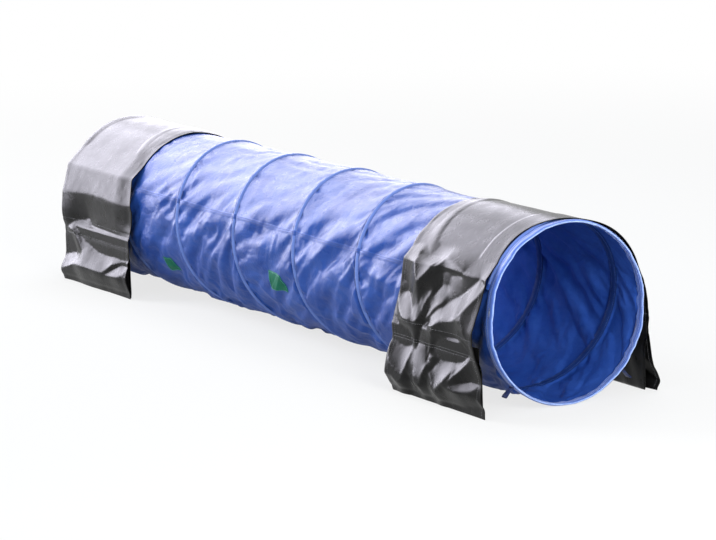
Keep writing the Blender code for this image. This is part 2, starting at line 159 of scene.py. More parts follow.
def sample(grid, row, column, ring=False):
    """A grid's smooth value between its points. A ring's last column meets its first."""
    rows, columns = grid.shape[:2]
    row, column = np.broadcast_arrays(row, column)
    first_row, first_column = np.floor(row).astype(int), np.floor(column).astype(int)
    along = cubic_weights(row - first_row)
    across = cubic_weights(column - first_column)
    total = 0
    for i in range(4):
        at_row = np.clip(first_row + i - 1, 0, rows - 1)
        for j in range(4):
            at_column = first_column + j - 1
            at_column = at_column % columns if ring else np.clip(at_column, 0, columns - 1)
            weight = along[i] * across[j]
            total = total + grid[at_row, at_column] * (weight[..., None] if grid.ndim == 3 else weight)
    return total


def sample_forever(grid, row, column):
    """As sample does, with the grid repeated without end."""
    rows, columns = grid.shape
    wide = np.pad(grid, 2, mode="wrap")
    return sample(wide, row % rows + 2, column % columns + 2)


def soft_noise(rows, columns, cell_rows, cell_columns, ring=False):
    """Smooth random hills of about one unit, each cell_rows by cell_columns points."""
    low_rows = max(2, round(rows / cell_rows)) + 3
    low_columns = max(4, round(columns / cell_columns)) + (0 if ring else 3)
    hills = random.standard_normal((low_rows, low_columns))
    row = np.linspace(1, low_rows - 2, rows)[:, None]
    if ring:
        column = np.arange(columns)[None, :] * (low_columns / columns)
    else:
        column = np.linspace(1, low_columns - 2, columns)[None, :]
    return sample(hills, row, column, ring)


def link_ends(grid, down, across, ring):
    """The two ends of every link that goes down rows and across columns."""
    rows, columns = grid.shape[:2]
    if ring:
        return grid[: rows - down], np.roll(grid[down:], -across, axis=1)
    left, right = max(0, -across), max(0, across)
    return grid[: rows - down, left : columns - right], grid[down:, right : columns - left]


def share_out(total, push, down, across, ring, other_end=-1):
    """Adds each link's push to its first end, and other_end times it to its second."""
    if ring:
        total[: len(total) - down] += push
        total[down:] += other_end * np.roll(push, across, axis=1)
    else:
        first, second = link_ends(total, down, across, ring)
        first += push
        second += other_end * push


def settle(cloth, links, rounds, free, fall, limit, draw, target, ring=False):
    """Lets a net of cloth find its folds. Each link is (down, across, rest length, hold), free is 0 where
    the cloth is held, fall is what each round adds, and limit keeps it outside what it lies on. Draw is
    the share by which it is drawn back to target, which keeps its folds small."""
    drag = 0.85
    cloth = cloth.astype(np.float32)
    target = target.astype(np.float32)
    free = np.broadcast_to(free, cloth.shape[:2]).astype(np.float32)[..., None]
    draw = np.broadcast_to(draw, cloth.shape[:2]).astype(np.float32)[..., None] * free
    fall = np.asarray(fall, np.float32)
    links = [(down, across, rest.astype(np.float32), hold) for down, across, rest, hold in links]
    count = np.zeros(cloth.shape[:2], np.float32)
    for down, across, rest, hold in links:
        share_out(count, np.full(rest.shape, hold, np.float32), down, across, ring, other_end=1)
    ease = free * (2 / count)[..., None]
    speed = np.zeros_like(cloth)
    for _ in range(rounds):
        before = cloth
        cloth = cloth + (speed * drag + fall) * free
        for _ in range(2):
            total = np.zeros_like(cloth)
            for down, across, rest, hold in links:
                start, end = link_ends(cloth, down, across, ring)
                apart = end - start
                length = np.sqrt(np.einsum("ijk,ijk->ij", apart, apart)) + 1e-9
                push = apart * (0.5 * hold * (1 - rest / length))[..., None]
                share_out(total, push, down, across, ring)
            cloth = limit(cloth + total * ease + (target - cloth) * draw)
        speed = cloth - before
    return cloth.astype(float)


def cloth_links(flat, spare, lean, tight, ring, bend):
    """Links for settle. flat is the net before it folds; spare is how much longer the cloth is than the
    place it has, across the folds, and tight how much shorter it is along them. Lean is the folds' angle
    from the first direction of the net."""
    step_down = np.linalg.norm(flat[1:] - flat[:-1], axis=-1).mean()
    step_across = np.linalg.norm(flat[:, 1:] - flat[:, :-1], axis=-1).mean()

    def rest(down, across):
        start, end = link_ends(flat, down, across, ring)
        length = np.linalg.norm(end - start, axis=-1)
        spare_here = link_ends(spare, down, across, ring)[0]
        lean_here = link_ends(lean, down, across, ring)[0]
        along, around = down * step_down, across * step_across
        flat_length = np.hypot(along, around)
        squeezed = along * np.sin(lean_here) + around * np.cos(lean_here)
        pulled = -along * np.cos(lean_here) + around * np.sin(lean_here)
        wide = along + spare_here * squeezed * np.sin(lean_here) + tight * pulled * np.cos(lean_here)
        high = around + spare_here * squeezed * np.cos(lean_here) - tight * pulled * np.sin(lean_here)
        return length * np.hypot(wide, high) / flat_length

    kinds = [(1, 0, 1.0), (0, 1, 1.0), (1, 1, 0.7), (1, -1, 0.7), (2, 0, bend), (0, 2, bend)]
    return [(down, across, rest(down, across), hold) for down, across, hold in kinds]


# Tube wall


def rib_distance(setback, angle):
    """How far a place on the wall lies behind the nearest turn of the wire, and the free span it is in."""
    turns = angle / full_turn
    ribs = np.stack([rib_setback(turn + turns) + 0 * setback for turn in range(spiral_turns)])
    apart = setback - ribs
    nearest = np.take_along_axis(apart, np.abs(apart).argmin(0)[None], 0)[0]
    ends = np.concatenate([ribs * 0 - 1, ribs])[spiral_turns - 1 :]
    ends[0] = wall_start - casing_half_width
    last = np.full_like(ribs[:1], wall_end + casing_half_width)
    ends = np.concatenate([ends, last])
    span = np.clip((ends[:-1] <= setback).sum(0) - 1, 0, len(ends) - 2)
    low = np.take_along_axis(ends, span[None], 0)[0]
    high = np.take_along_axis(ends, span[None] + 1, 0)[0]
    return nearest, low, high


def wall_radius(setback, angle):
    """The wall's outer radius before its cloth folds."""
    _, low, high = rib_distance(setback, angle)
    free_low, free_high = low + casing_half_width, high - casing_half_width
    width = np.maximum(free_high - free_low, 1e-4)
    share = np.clip((setback - free_low) / width, 0, 1)
    depth = (rib_foot_radius - dip_radius) * np.clip(width / 0.25, 0, 1)
    return rib_foot_radius - depth * np.sin(math.pi * share) ** 0.8


def wall_net(step):
    rows = round((wall_end - wall_start) / step) + 1
    columns = round(full_turn * rib_radius / step)
    setback = np.linspace(wall_start, wall_end, rows)[:, None] + np.zeros((1, columns))
    angle = np.arange(columns)[None, :] * (full_turn / columns) + np.zeros((rows, 1))
    return setback, angle


def keep_wall(points):
    """Keeps the wall above the ground and within the saddles' sheets."""
    y, z = points[..., 1], points[..., 2] - axis_height
    radius = np.hypot(y, z)
    shrink = np.minimum(1, cloth_limit_radius / radius)
    points[..., 1] = y * shrink
    points[..., 2] = np.maximum(z * shrink, 0.0006 - axis_height) + axis_height
    return points


def from_mouths(setback, width):
    """0 at the front and at the rear end of the wall's cloth, each rising to 1 over width."""
    front = smooth_step(wall_start, wall_start + width, setback)
    rear = smooth_step(-wall_end, -wall_end + width, -setback)
    return front, rear


def clear_of_ribs(setback, angle):
    held, _, _ = rib_distance(setback, angle)
    return smooth_step(casing_half_width, casing_half_width + 0.03, np.abs(held))


def settled_wall():
    """The whole wall's cloth as a net, with its diagonal wrinkles."""
    wall = None
    for step, rounds in net_rounds:
        setback, angle = wall_net(step)
        rows, columns = setback.shape
        radius = wall_radius(setback, angle)
        flat = on_tube(setback, angle, radius)
        if wall is None:
            patchy = soft_noise(rows, columns, 7, 6, True)
            patchy_lean = soft_noise(rows, columns, 8, 6, True)
            folds = 0.003 * soft_noise(rows, columns, 3, 2, True)
            wall = on_tube(setback, angle, radius + folds * clear_of_ribs(setback, angle))
        else:
            row = np.linspace(0, wall.shape[0] - 1, rows)[:, None]
            column = np.arange(columns)[None, :] * (wall.shape[1] / columns)
            coarse = (patchy, patchy_lean, wall)
            patchy, patchy_lean, wall = (sample(grid, row, column, True) for grid in coarse)
        # The wrinkles lean most low on the flanks, and run along the crest.
        from_top = way_from_top(angle)
        lean = np.radians(8 + 27 * smooth_step(0.35, 1.2, from_top)) + np.radians(14) * patchy_lean
        spare = 0.010 + 0.034 * smooth_step(0.80, 1.45, from_top)
        spare = np.clip(spare * (1 + 0.45 * patchy), 0.006, 0.06)
        held, _, _ = rib_distance(setback, angle)
        free = smooth_step(casing_half_width - 0.003, casing_half_width + 0.004, np.abs(held))
        free = np.minimum.reduce([free, *from_mouths(setback, 0.012)])
        links = cloth_links(flat, spare, lean, 0.004, True, 0.2)
        fall = (0, 0, -3e-6)
        start = flat * (1 - free[..., None]) + wall * free[..., None]
        wall = settle(start, links, rounds, free, fall, keep_wall, 0.0006, flat, ring=True)
    return wall


def round_tube(pattern, setback, angle):
    """A pattern of (setback, way round) that meets itself at the near seam."""
    blend = smooth_step(full_turn - 0.9, full_turn, angle)
    around = angle * rib_radius
    once_more = pattern(setback, around - full_turn * rib_radius)
    return pattern(setback, around) * (1 - blend) + once_more * blend


def flat_facets(long, wide, lean):
    """Random flat facets with sharp creases between them, long by wide in metres, leaning in degrees."""
    lean = math.radians(lean)
    count = 97
    heights = random.standard_normal((count, count))
    bends = random.standard_normal((2, 61, 61))

    def pattern(setback, around):
        along = setback * math.cos(lean) - around * math.sin(lean)
        across = setback * math.sin(lean) + around * math.cos(lean)
        row, column = (
            apart + 0.45 * sample_forever(bend, along / long * 0.9, across / wide * 0.6)
            for apart, bend in ((along / long, bends[0]), (across / wide, bends[1]))
        )
        row = row + 0.5 * column
        i, j = np.floor(row).astype(int), np.floor(column).astype(int)
        down, side = row - i, column - j
        (a, b), (c, d) = ([heights[(i + n) % count, (j + m) % count] for m in (0, 1)] for n in (0, 1))
        low = a + down * (c - a) + side * (b - a)
        high = d + (1 - down) * (b - d) + (1 - side) * (c - d)
        return np.where(down + side < 1, low, high)

    return pattern


# The wall's own columns follow the wire, so that the ribs come out sharp. Places across a rib are in mm.
half_rib = [2, 4, 6, 8.4, 9.8, 10.6, 11.4, 12.8, 15]
rib_profile = np.array([-place for place in half_rib[::-1]] + [0] + half_rib) / 1000
free_rows = 66


def wall_setbacks(angle):
    """The setback of every row of the wall at one angle or more, as (row, angle)."""
    angle = np.atleast_1d(angle)
    ribs = [rib_setback(turn + angle / full_turn) for turn in range(spiral_turns)]
    rows, at = [], np.full_like(angle, wall_start)
    share = (np.arange(free_rows) / free_rows)[:, None]
    for rib in ribs:
        rows.append(at + share * (rib - casing_half_width - at))
        rows.append(rib + rib_profile[:, None])
        at = rib + casing_half_width + 0.004
    share = np.linspace(0, 1, free_rows)[:, None]
    rows.append(np.minimum(at, wall_end - 1e-4) + share * np.maximum(wall_end - at, 1e-4))
    return np.concatenate(rows)


# Creases from being packed away, sharper than the cloth's own folds: the pattern, its height on top of the
# tube, and how much more it has on the flank
pack_patterns = (
    (flat_facets(0.190, 0.085, 38), 0.0006, 0.0048),
    (flat_facets(0.150, 0.075, -30), 0.0004, 0.0036),
    (flat_facets(0.080, 0.036, 55), 0.0004, 0.0011),
)


def packing_creases(setback, angle, away_from_rib):
    flank = smooth_step(0.85, 1.40, way_from_top(angle))
    free = smooth_step(casing_half_width - 0.003, casing_half_width + 0.010, away_from_rib)
    for end in from_mouths(setback, 0.016):
        free = free * end
    total = 0
    for pattern, top, more in pack_patterns:
        total = total + round_tube(pattern, setback, angle) * (top + more * flank)
    return total * free


def wall_point(setback, angle, above=0.0):
    """A place on the finished wall's outer face, or above it."""
    rows, columns = wall_cloth.shape[:2]
    row = (setback - wall_start) / (wall_end - wall_start) * (rows - 1)
    column = angle / full_turn * columns
    point = sample(wall_cloth, row, column, ring=True)
    from_rib, _, _ = rib_distance(setback, angle)
    away = np.abs(from_rib)
    # The cloth stands over the wire, lies flat to the casing's stitching and puckers there.
    over_wire = (rib_radius - rib_foot_radius) * bell(away, over_wire_width)
    stitched = casing_lift * smooth_step(0.0125, 0.0095, away)
    stitched = stitched - groove_depth * bell(away - casing_sewing, groove_width)
    pucker = 0.0002 * np.sin(angle * 330) * bell(away - 0.014, 0.005)
    pucker = pucker + 0.0005 * np.sin(angle * 97 + 5 * np.sin(angle * 13)) * bell(away - 0.020, 0.008)
    lift = over_wire + stitched + pucker + packing_creases(setback, angle, away)
    y, z = point[..., 1], point[..., 2] - axis_height
    radius = np.hypot(y, z)
    scale = (np.minimum(radius + lift, cloth_limit_radius + 0.0003) + above) / radius
    return grid_of(point[..., 0], y * scale, np.maximum(z * scale + axis_height, 0.0004))


# Meshes


def mesh_piece(name, points, faces, material, uv=None):
    """A new object from points and faces, shaded smooth, with a map called cloth in metres."""
    mesh = bpy.data.meshes.new(name)
    points = np.asarray(points, float).reshape(-1, 3)
    faces = np.asarray(faces)
    size = faces.shape[1]
    mesh.vertices.add(len(points))
    mesh.vertices.foreach_set("co", points.astype(np.float32).ravel())
    mesh.loops.add(faces.size)
    mesh.loops.foreach_set("vertex_index", faces.astype(np.int32).ravel())
    mesh.polygons.add(len(faces))
    mesh.polygons.foreach_set("loop_start", np.arange(len(faces), dtype=np.int32) * size)
    mesh.polygons.foreach_set("loop_total", np.full(len(faces), size, np.int32))
    mesh.polygons.foreach_set("use_smooth", np.ones(len(faces), bool))
    if uv is not None:
        layer = mesh.uv_layers.new(name="cloth")
        uv = np.asarray(uv, np.float32).reshape(-1, 2)
        layer.uv.foreach_set("vector", uv[faces.ravel()].ravel())
    mesh.materials.append(material)
    mesh.update(calc_edges=True)
    mesh.validate()
    piece = bpy.data.objects.new(name, mesh)
    bpy.context.scene.collection.objects.link(piece)
    return piece


def grid_faces(rows, columns, ring_rows=False, ring_columns=False, flip=False):
    row = np.arange(rows if ring_rows else rows - 1)[:, None]
    column = np.arange(columns if ring_columns else columns - 1)[None, :]
    next_row, next_column = (row + 1) % rows, (column + 1) % columns
    a, b = row * columns + column, next_row * columns + column
    c, d = next_row * columns + next_column, row * columns + next_column
    corners = (a, d, c, b) if flip else (a, b, c, d)
    return grid_of(*corners).reshape(-1, 4)


def grid_piece(name, points, material, uv=None, ring_rows=False, ring_columns=False, flip=False):
    """An object from a grid of points."""
    rows, columns = points.shape[:2]
    faces = grid_faces(rows, columns, ring_rows, ring_columns, flip)
    return mesh_piece(name, points, faces, material, uv)


def tube_piece(name, path, radius, material):
    """A round rod along a path of points."""
    sides = 8
    ahead = np.gradient(path, axis=0)
    ahead /= np.linalg.norm(ahead, axis=1)[:, None]
    side = np.cross(ahead, (1, 0, 0))
    side /= np.linalg.norm(side, axis=1)[:, None]
    up = np.cross(side, ahead)
    turn = (np.arange(sides) * full_turn / sides)[None, :, None]
    ring = radius * (side[:, None] * np.cos(turn) + up[:, None] * np.sin(turn))
    return grid_piece(name, path[:, None] + ring, material, ring_columns=True)


def mark(piece, name, values):
    """Keeps a value at each point of a piece, for its material to read."""
    made = piece.data.attributes.new(name, "FLOAT", "POINT")
    made.data.foreach_set("value", values.astype(np.float32).ravel())


def stitches(name, rows, material, length=0.0036, pitch=0.0054, thickness=0.00055):
    """Threads sewn along lines. Each row is (points, outward directions), and each stitch a small bar that
    dips into the cloth at both ends: four rings, as (place along it, height), of four points."""
    blocks, faces, start = [], [], 0
    shape = ((-0.5, -0.7), (-0.22, 0.35), (0.22, 0.35), (0.5, -0.7))
    spin = np.arange(4) * full_turn / 4
    bar = grid_faces(4, 4, ring_columns=True)
    bar_points = 16
    for points, outward in rows:
        steps = np.linalg.norm(np.diff(points, axis=0), axis=1)
        run = np.concatenate([[0], np.cumsum(steps)])
        at = np.arange(pitch / 2, run[-1], pitch)

        def along(values, place):
            return np.stack([np.interp(place, run, values[:, k]) for k in range(3)], axis=1)

        middle, out = along(points, at), along(outward, at)
        ahead = along(points, at + 0.0005) - along(points, at - 0.0005)
        ahead /= np.linalg.norm(ahead, axis=1)[:, None] + 1e-12
        side = np.cross(out, ahead)
        side /= np.linalg.norm(side, axis=1)[:, None] + 1e-12
        out = np.cross(ahead, side)
        rings = [
            middle[:, None] + ahead[:, None] * forward * length
            + out[:, None] * (high + np.sin(spin)[None, :, None]) * thickness
            + side[:, None] * thickness * np.cos(spin)[None, :, None]
            for forward, high in shape
        ]
        blocks.append(np.stack(rings, axis=1).reshape(-1, 3))
        faces.append((bar[None] + bar_points * np.arange(len(at))[:, None, None] + start).reshape(-1, 4))
        start += bar_points * len(at)
    return mesh_piece(name, np.concatenate(blocks), np.concatenate(faces), material)


def outward_of(grid):
    """The direction at each point of a grid that faces away from the tube's axis."""
    down = np.gradient(grid, axis=0)
    side = np.gradient(grid, axis=1)
    out = np.cross(down, side)
    out /= np.linalg.norm(out, axis=-1)[..., None] + 1e-12
    away = grid * (0, 1, 1) - (0, 0, axis_height * 0.8)
    return out * np.sign((out * away).sum(-1))[..., None]


# Materials


class Tree:
    """A node tree, with a short way to add to it."""

    def __init__(self, tree):
        self.tree = tree

    def add(self, kind, *, out=0, settings=(), **inputs):
        """Adds a node and gives one of its outputs. An input is named, or i and its number."""
        made = self.tree.nodes.new("ShaderNode" + kind)
        for key, value in dict(settings).items():
            setattr(made, key, value)
        for key, value in inputs.items():
            found = made.inputs[int(key[1:])] if key[0] == "i" and key[1:].isdigit() else made.inputs[key]
            if isinstance(value, bpy.types.NodeSocket):
                self.tree.links.new(value, found)
            else:
                found.default_value = value
        return made.outputs[out] if made.outputs else made

    def math(self, operation, a, b=0.0, clamp=False):
        return self.add("Math", settings=dict(operation=operation, use_clamp=clamp), i0=a, i1=b)


class Nodes(Tree):
    """A material's node tree, round its Principled shader."""

    def __init__(self, name, colour, roughness, **settings):
        self.material = bpy.data.materials.new(name)
        self.material.use_nodes = True
        super().__init__(self.material.node_tree)
        self.shader = self.tree.nodes["Principled BSDF"]
        self.shader.inputs["Base Color"].default_value = (*colour, 1)
        self.shader.inputs["Roughness"].default_value = roughness
        for key, value in settings.items():
            self.shader.inputs[key.replace("_", " ")].default_value = value

    def map(self):
        """Places on the cloth, in metres."""
        return self.add("UVMap", settings=dict(uv_map="cloth"))

    def room(self):
        """Places in the frame, in metres."""
        return self.add("TexCoord", out=3)

    def height(self):
        return self.add("SeparateXYZ", out=2, Vector=self.room())

    def attribute(self, name):
        return self.add("Attribute", out=2, settings=dict(attribute_name=name))

    def scaled(self, vector, scale, turn=0.0):
        return self.add("Mapping", Vector=vector, Scale=scale, Rotation=(0, 0, turn))

    def noise(self, vector, scale, detail=3.0, rough=0.5):
        return self.add("TexNoise", Vector=vector, Scale=scale, Detail=detail, Roughness=rough)

    def wander(self, vector, scale):
        """Smoothly varying directions."""
        return self.add("TexNoise", out=1, Vector=vector, Scale=scale, Detail=2.0)

    def moved(self, vector, by):
        return self.add("VectorMath", settings=dict(operation="ADD"), i0=vector, i1=by)

    def creases(self, vector, scale):
        return self.add("TexVoronoi", settings=dict(feature="DISTANCE_TO_EDGE"), Vector=vector, Scale=scale)

    def spread(self, value, low, high, to_low=0.0, to_high=1.0):
        return self.add("MapRange", Value=value, i1=low, i2=high, i3=to_low, i4=to_high)

    def mix(self, share, a, b):
        """Colour a, or b where share is 1."""
        a, b = ((*value, 1) if isinstance(value, tuple) else value for value in (a, b))
        return self.add("Mix", out=2, settings=dict(data_type="RGBA"), i0=share, i6=a, i7=b)

    def bump(self, height, distance, under=None):
        inputs = dict(Height=height, Distance=distance, Strength=1.0)
        if under is not None:
            inputs["Normal"] = under
        return self.add("Bump", **inputs)

    def set(self, key, value):
        self.tree.links.new(value, self.shader.inputs[key])


def threads(nodes, pitch, under):
    """Bump of crossed threads, pitch apart."""
    place = nodes.add("SeparateXYZ", Vector=nodes.map()).node
    turns = full_turn / pitch / 2
    one, two = (nodes.math("SINE", nodes.math("MULTIPLY", place.outputs[k], turns)) for k in (0, 1))
    return nodes.bump(nodes.math("MULTIPLY", one, two), 0.00001, under)


def fabric(name, deep, light, roughness=0.42, crumple=1.0, casing_wear_and_sheen=None, pale_rim_colour=None, **settings):
    """Coated nylon: two shades of dye, crumples that lean as the wrinkles do, and a fine weave. The casing
    colour is painted where the wall's casing lies over it, partly worn fuzz and partly a painted sheen, and
    along the casing's sewing the colour is darkened with painted shade and some dirt in the groove.
    The rim colour is that of a paler rim and raw edge."""
    nodes = Nodes(name, deep, roughness, **settings)
    place = nodes.map()
    shade = nodes.spread(nodes.noise(place, 7.0, 4), 0.35, 0.68)
    faint = nodes.spread(nodes.noise(place, 60.0, 3), 0.3, 0.7, 0.0, 0.35)
    colour = nodes.mix(nodes.math("ADD", shade, faint, True), deep, light)
    if casing_wear_and_sheen:
        sewn = nodes.attribute("sewn")
        # Paler over the casing: partly worn fuzz, partly a painted sheen.
        colour = nodes.mix(nodes.math("MULTIPLY", nodes.attribute("casing"), 0.75), colour, casing_wear_and_sheen)
        # Darker along the casing's sewing: painted shade, with some dirt, in the groove.
        colour = nodes.mix(nodes.math("MULTIPLY", sewn, 0.8), colour, tuple(0.4 * value for value in deep))
    # Paler along a hem's rim and raw inner edge, patchily.
    if pale_rim_colour:
        pale_rim_share = nodes.spread(nodes.noise(place, 90.0, 3), 0.3, 0.6, 0.6, 1.0)
        colour = nodes.mix(nodes.math("MULTIPLY", nodes.attribute("edge"), pale_rim_share), colour, pale_rim_colour)
    nodes.set("Base Color", colour)
    warped = nodes.moved(nodes.scaled(place, (0.62, 1.25, 1.0), math.radians(-28)), nodes.wander(place, 9.0))
    large = nodes.spread(nodes.creases(warped, 17.0), 0.0, 0.22)
    small = nodes.spread(nodes.creases(warped, 46.0), 0.0, 0.2)
    if casing_wear_and_sheen:
        wobble = nodes.scaled(nodes.wander(place, 5.0), (0.05, 0.05, 0.05))
        on_flank = nodes.spread(nodes.height(), 0.43, 0.29, 0.20, 1.0)
        bent = None
        for turn, scale, depth in ((-34, 9.0, 0.0060), (40, 13.0, 0.0030), (-50, 27.0, 0.0011)):
            slanted = nodes.moved(nodes.scaled(place, (0.6, 1.3, 1.0), math.radians(turn)), wobble)
            bent = nodes.bump(nodes.math("MULTIPLY", nodes.creases(slanted, scale), on_flank), depth, bent)
        under = nodes.bump(large, 0.0003, bent)
    else:
        under = nodes.bump(large, 0.0004 * crumple)
    under = nodes.bump(small, 0.0001 * crumple, under)
    under = nodes.bump(nodes.noise(place, 60.0, 1), 0.00005 * crumple, under)
    nodes.set("Normal", threads(nodes, 0.0006, under))
    rough = nodes.spread(nodes.noise(place, 30.0, 3), 0.3, 0.7, roughness - 0.05, roughness + 0.07)
    if casing_wear_and_sheen:
        # The coating is on the outside only, and is scuffed dull low down and dented along the sewing.
        scuffed = nodes.spread(nodes.height(), 0.08, 0.36, 0.30, 0.0)
        uncoated = nodes.math("MULTIPLY", nodes.add("NewGeometry", out=6), 0.5)
        dull = nodes.math("MAXIMUM", scuffed, uncoated)
        dull = nodes.math("MAXIMUM", dull, nodes.math("MULTIPLY", sewn, 0.4))
        rough = nodes.math("ADD", rough, dull, True)
    nodes.set("Roughness", rough)
    return nodes.material


def tarpaulin_material(name, deep, worn):
    """Coated scrim: nearly black, glossy, crinkled and scuffed."""
    nodes = Nodes(name, deep, 0.22, IOR=1.24)
    place = nodes.map()
    dust = nodes.spread(nodes.noise(place, 9.0, 5, 0.6), 0.42, 0.72)
    nodes.set("Base Color", nodes.mix(dust, deep, worn))
    warped = nodes.moved(place, nodes.wander(place, 6.0))
    under = nodes.bump(nodes.spread(nodes.creases(warped, 11.0), 0.0, 0.25), 0.00012)
    under = nodes.bump(nodes.spread(nodes.creases(warped, 31.0), 0.0, 0.2), 0.00002, under)
    under = nodes.bump(nodes.noise(place, 40.0, 1), 0.00003, under)
    nodes.set("Normal", threads(nodes, 0.0013, under))
    nodes.set("Roughness", nodes.spread(nodes.noise(place, 22.0, 4), 0.3, 0.7, 0.25, 0.33))
    return nodes.material


def plain_material(name, colour, other, roughness, pitch=0.0012):
    """Woven tape, webbing or thread: two shades and a weave in the frame's own directions."""
    nodes = Nodes(name, colour, roughness)
    place = nodes.room()
    shade = nodes.spread(nodes.noise(place, 40.0, 4), 0.35, 0.65)
    nodes.set("Base Color", nodes.mix(shade, colour, other))
    weave = nodes.add("TexWave", out=1, Vector=place, Scale=1 / pitch / 3, Distortion=0.4)
    under = nodes.bump(nodes.noise(place, 300.0, 3), 0.0003)
    nodes.set("Normal", nodes.bump(weave, 0.00015, under))
    return nodes.material


def metal_material(name, colour, roughness):
    """Bare metal, worn smooth in places."""
    nodes = Nodes(name, colour, roughness, Metallic=1.0)
    place = nodes.room()
    worn = nodes.spread(nodes.noise(place, 80.0, 4), 0.35, 0.7)
    nodes.set("Roughness", nodes.spread(worn, 0, 1, roughness - 0.08, roughness + 0.15))
    nodes.set("Normal", nodes.bump(nodes.noise(place, 400.0, 3), 0.0002))
    return nodes.material


royal = fabric("tunnel_fabric", (0.011, 0.045, 0.235), (0.024, 0.074, 0.315), 0.30,
               casing_wear_and_sheen=(0.15, 0.23, 0.56), IOR=1.25)
hem_blue = fabric("hem_fabric", (0.030, 0.085, 0.38), (0.050, 0.13, 0.48), 0.45, 0.5,
                  pale_rim_colour=(0.34, 0.46, 0.80), Sheen_Weight=0.2)
# The casing tape is coloured darker than its dye: painted shade for the daylight it blocks from coming
# through the wall.
tape_blue_painted_shade = fabric("casing_tape", (0.007, 0.023, 0.11), (0.012, 0.036, 0.15), 0.6, 0.3, IOR=1.25)
seam_blue = fabric("seam_tape", (0.012, 0.052, 0.270), (0.022, 0.080, 0.35), 0.55, 0.4)
patch_green = fabric("patch", (0.0006, 0.085, 0.036), (0.003, 0.130, 0.075), 0.55, 0.6, IOR=1.2)
tarpaulin = tarpaulin_material("tarpaulin", (0.0035, 0.0035, 0.0035), (0.010, 0.010, 0.0105))
pouch_black = tarpaulin_material("pouch_tarpaulin", (0.008, 0.008, 0.008), (0.02, 0.02, 0.02))
wire_steel = metal_material("spring_wire", (0.42, 0.43, 0.45), 0.32)
sleeve_metal = metal_material("crimp_sleeve", (0.62, 0.60, 0.56), 0.3)
cap_black = plain_material("wire_cap", (0.02, 0.02, 0.022), (0.035, 0.035, 0.04), 0.45)
webbing = plain_material("webbing", (0.012, 0.020, 0.075), (0.022, 0.036, 0.12), 0.6, 0.0015)
thread_pale = plain_material("pale_thread", (0.42, 0.52, 0.80), (0.52, 0.62, 0.86), 0.5)
thread_blue = plain_material("blue_thread", (0.045, 0.10, 0.38), (0.09, 0.16, 0.48), 0.5)
thread_dark = plain_material("dark_thread", (0.008, 0.022, 0.12), (0.014, 0.04, 0.18), 0.6)
thread_green = plain_material("green_thread", (0.06, 0.36, 0.30), (0.12, 0.46, 0.40), 0.5)
thread_grey = plain_material("grey_thread", (0.10, 0.10, 0.11), (0.17, 0.17, 0.18), 0.5)
sand_cloth = plain_material("sand_bag", (0.30, 0.29, 0.25), (0.42, 0.40, 0.35), 0.7, 0.002)
hook_black = plain_material("hook_and_loop", (0.012, 0.012, 0.013), (0.03, 0.03, 0.03), 0.8, 0.001)

# How pieces ride. On the tunnel, what lies between the mouths' hems closes up into the room they leave when
# it is packed away.


def dress(piece, body, node=None, closes_up=False):
    """Lets a piece ride on a body, in a node's place if it has one. One that closes up is given a mesh of its
    own.
    """
    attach(piece, body)
    if node:
        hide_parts(node)
    if closes_up:
        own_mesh(piece)


# The wall, in the two widths of cloth it is cut from

wall_cloth = settled_wall()
panel_step = 0.0056


def wall_columns(low, high, step):
    return np.linspace(low, high, round((high - low) * rib_radius / step) + 1)


def wall_panel(name, node, low, high):
    angle = wall_columns(low, high, panel_step)
    setback = wall_setbacks(angle)
    around = np.broadcast_to(angle[None, :], setback.shape)
    points = wall_point(setback, around)
    panel = grid_piece(name, points, royal, grid_of(setback, around * rib_radius), flip=True)
    away = np.abs(rib_distance(setback, around)[0])
    # Where the casing lies: its colour is painted paler there, partly wear and partly a painted sheen.
    mark(panel, "casing", smooth_step(0.0112, 0.0096, away))
    # Along the casing's sewing groove, whose colour is darkened with painted shade and some dirt.
    mark(panel, "sewn", bell(away - casing_sewing - 0.0006, 0.0013))
    dress(panel, "tunnel", node, closes_up=True)


wall_panel("wall_top", "top_panel", 0, far_seam)
wall_panel("wall_bottom", "bottom_panel", far_seam, full_turn)

# Spiral wire and its tapes, inside the wall. A tape's profile and its lift are in mm.

wire_turns = np.linspace(wire_start / full_turn, spiral_turns - wire_start / full_turn, 1100)
wire_path = on_tube(rib_setback(wire_turns), wire_turns * full_turn, wire_path_radius)
wire = tube_piece("spring_wire", wire_path, wire_radius, wire_steel)
dress(wire, "tunnel", "spiral_wire", closes_up=True)

once_round = wall_columns(0, full_turn, fine_step)
tape_profile = np.array([-17, -14, -11, -7, -3.5, 0, 3.5, 7, 11, 14, 17]) / 1000
tape_lift = np.array([1.6, 1.7, 1.2, 0.5, 0.0, -0.3, 0.0, 0.5, 1.2, 1.7, 1.6]) / 1000
for turn in range(spiral_turns):
    setback = rib_setback(turn + once_round / full_turn)
    towards_edge = (np.abs(tape_profile) / tape_half_width)[:, None]
    waves = 0.0005 * np.sin(once_round * 71 + turn)[None, :] * towards_edge
    inside = tape_inner_radius + tape_lift[:, None] + waves
    thick = tape_outer_radius - tape_inner_radius
    faces = (inside, inside + thick)
    lower, upper = (on_tube(setback + tape_profile[:, None], once_round, face) for face in faces)
    uv_across = np.concatenate([tape_profile, tape_profile[::-1] + 0.04])
    uv = grid_of(uv_across[:, None], once_round * rib_radius)
    loop = np.concatenate([lower, upper[::-1]])
    band = grid_piece(f"casing_band_{turn + 1}", loop, tape_blue_painted_shade, uv, ring_rows=True)
    dress(band, "tunnel", f"casing_tape_{turn + 1}", closes_up=True)


def sewn_line(points, facing=1):
    """A row of stitches that faces away from the tube's axis, or towards it where facing is -1."""
    out = points * (0, 1, 1) - (0, 0, axis_height)
    return points, facing * (out / np.linalg.norm(out, axis=1)[:, None])


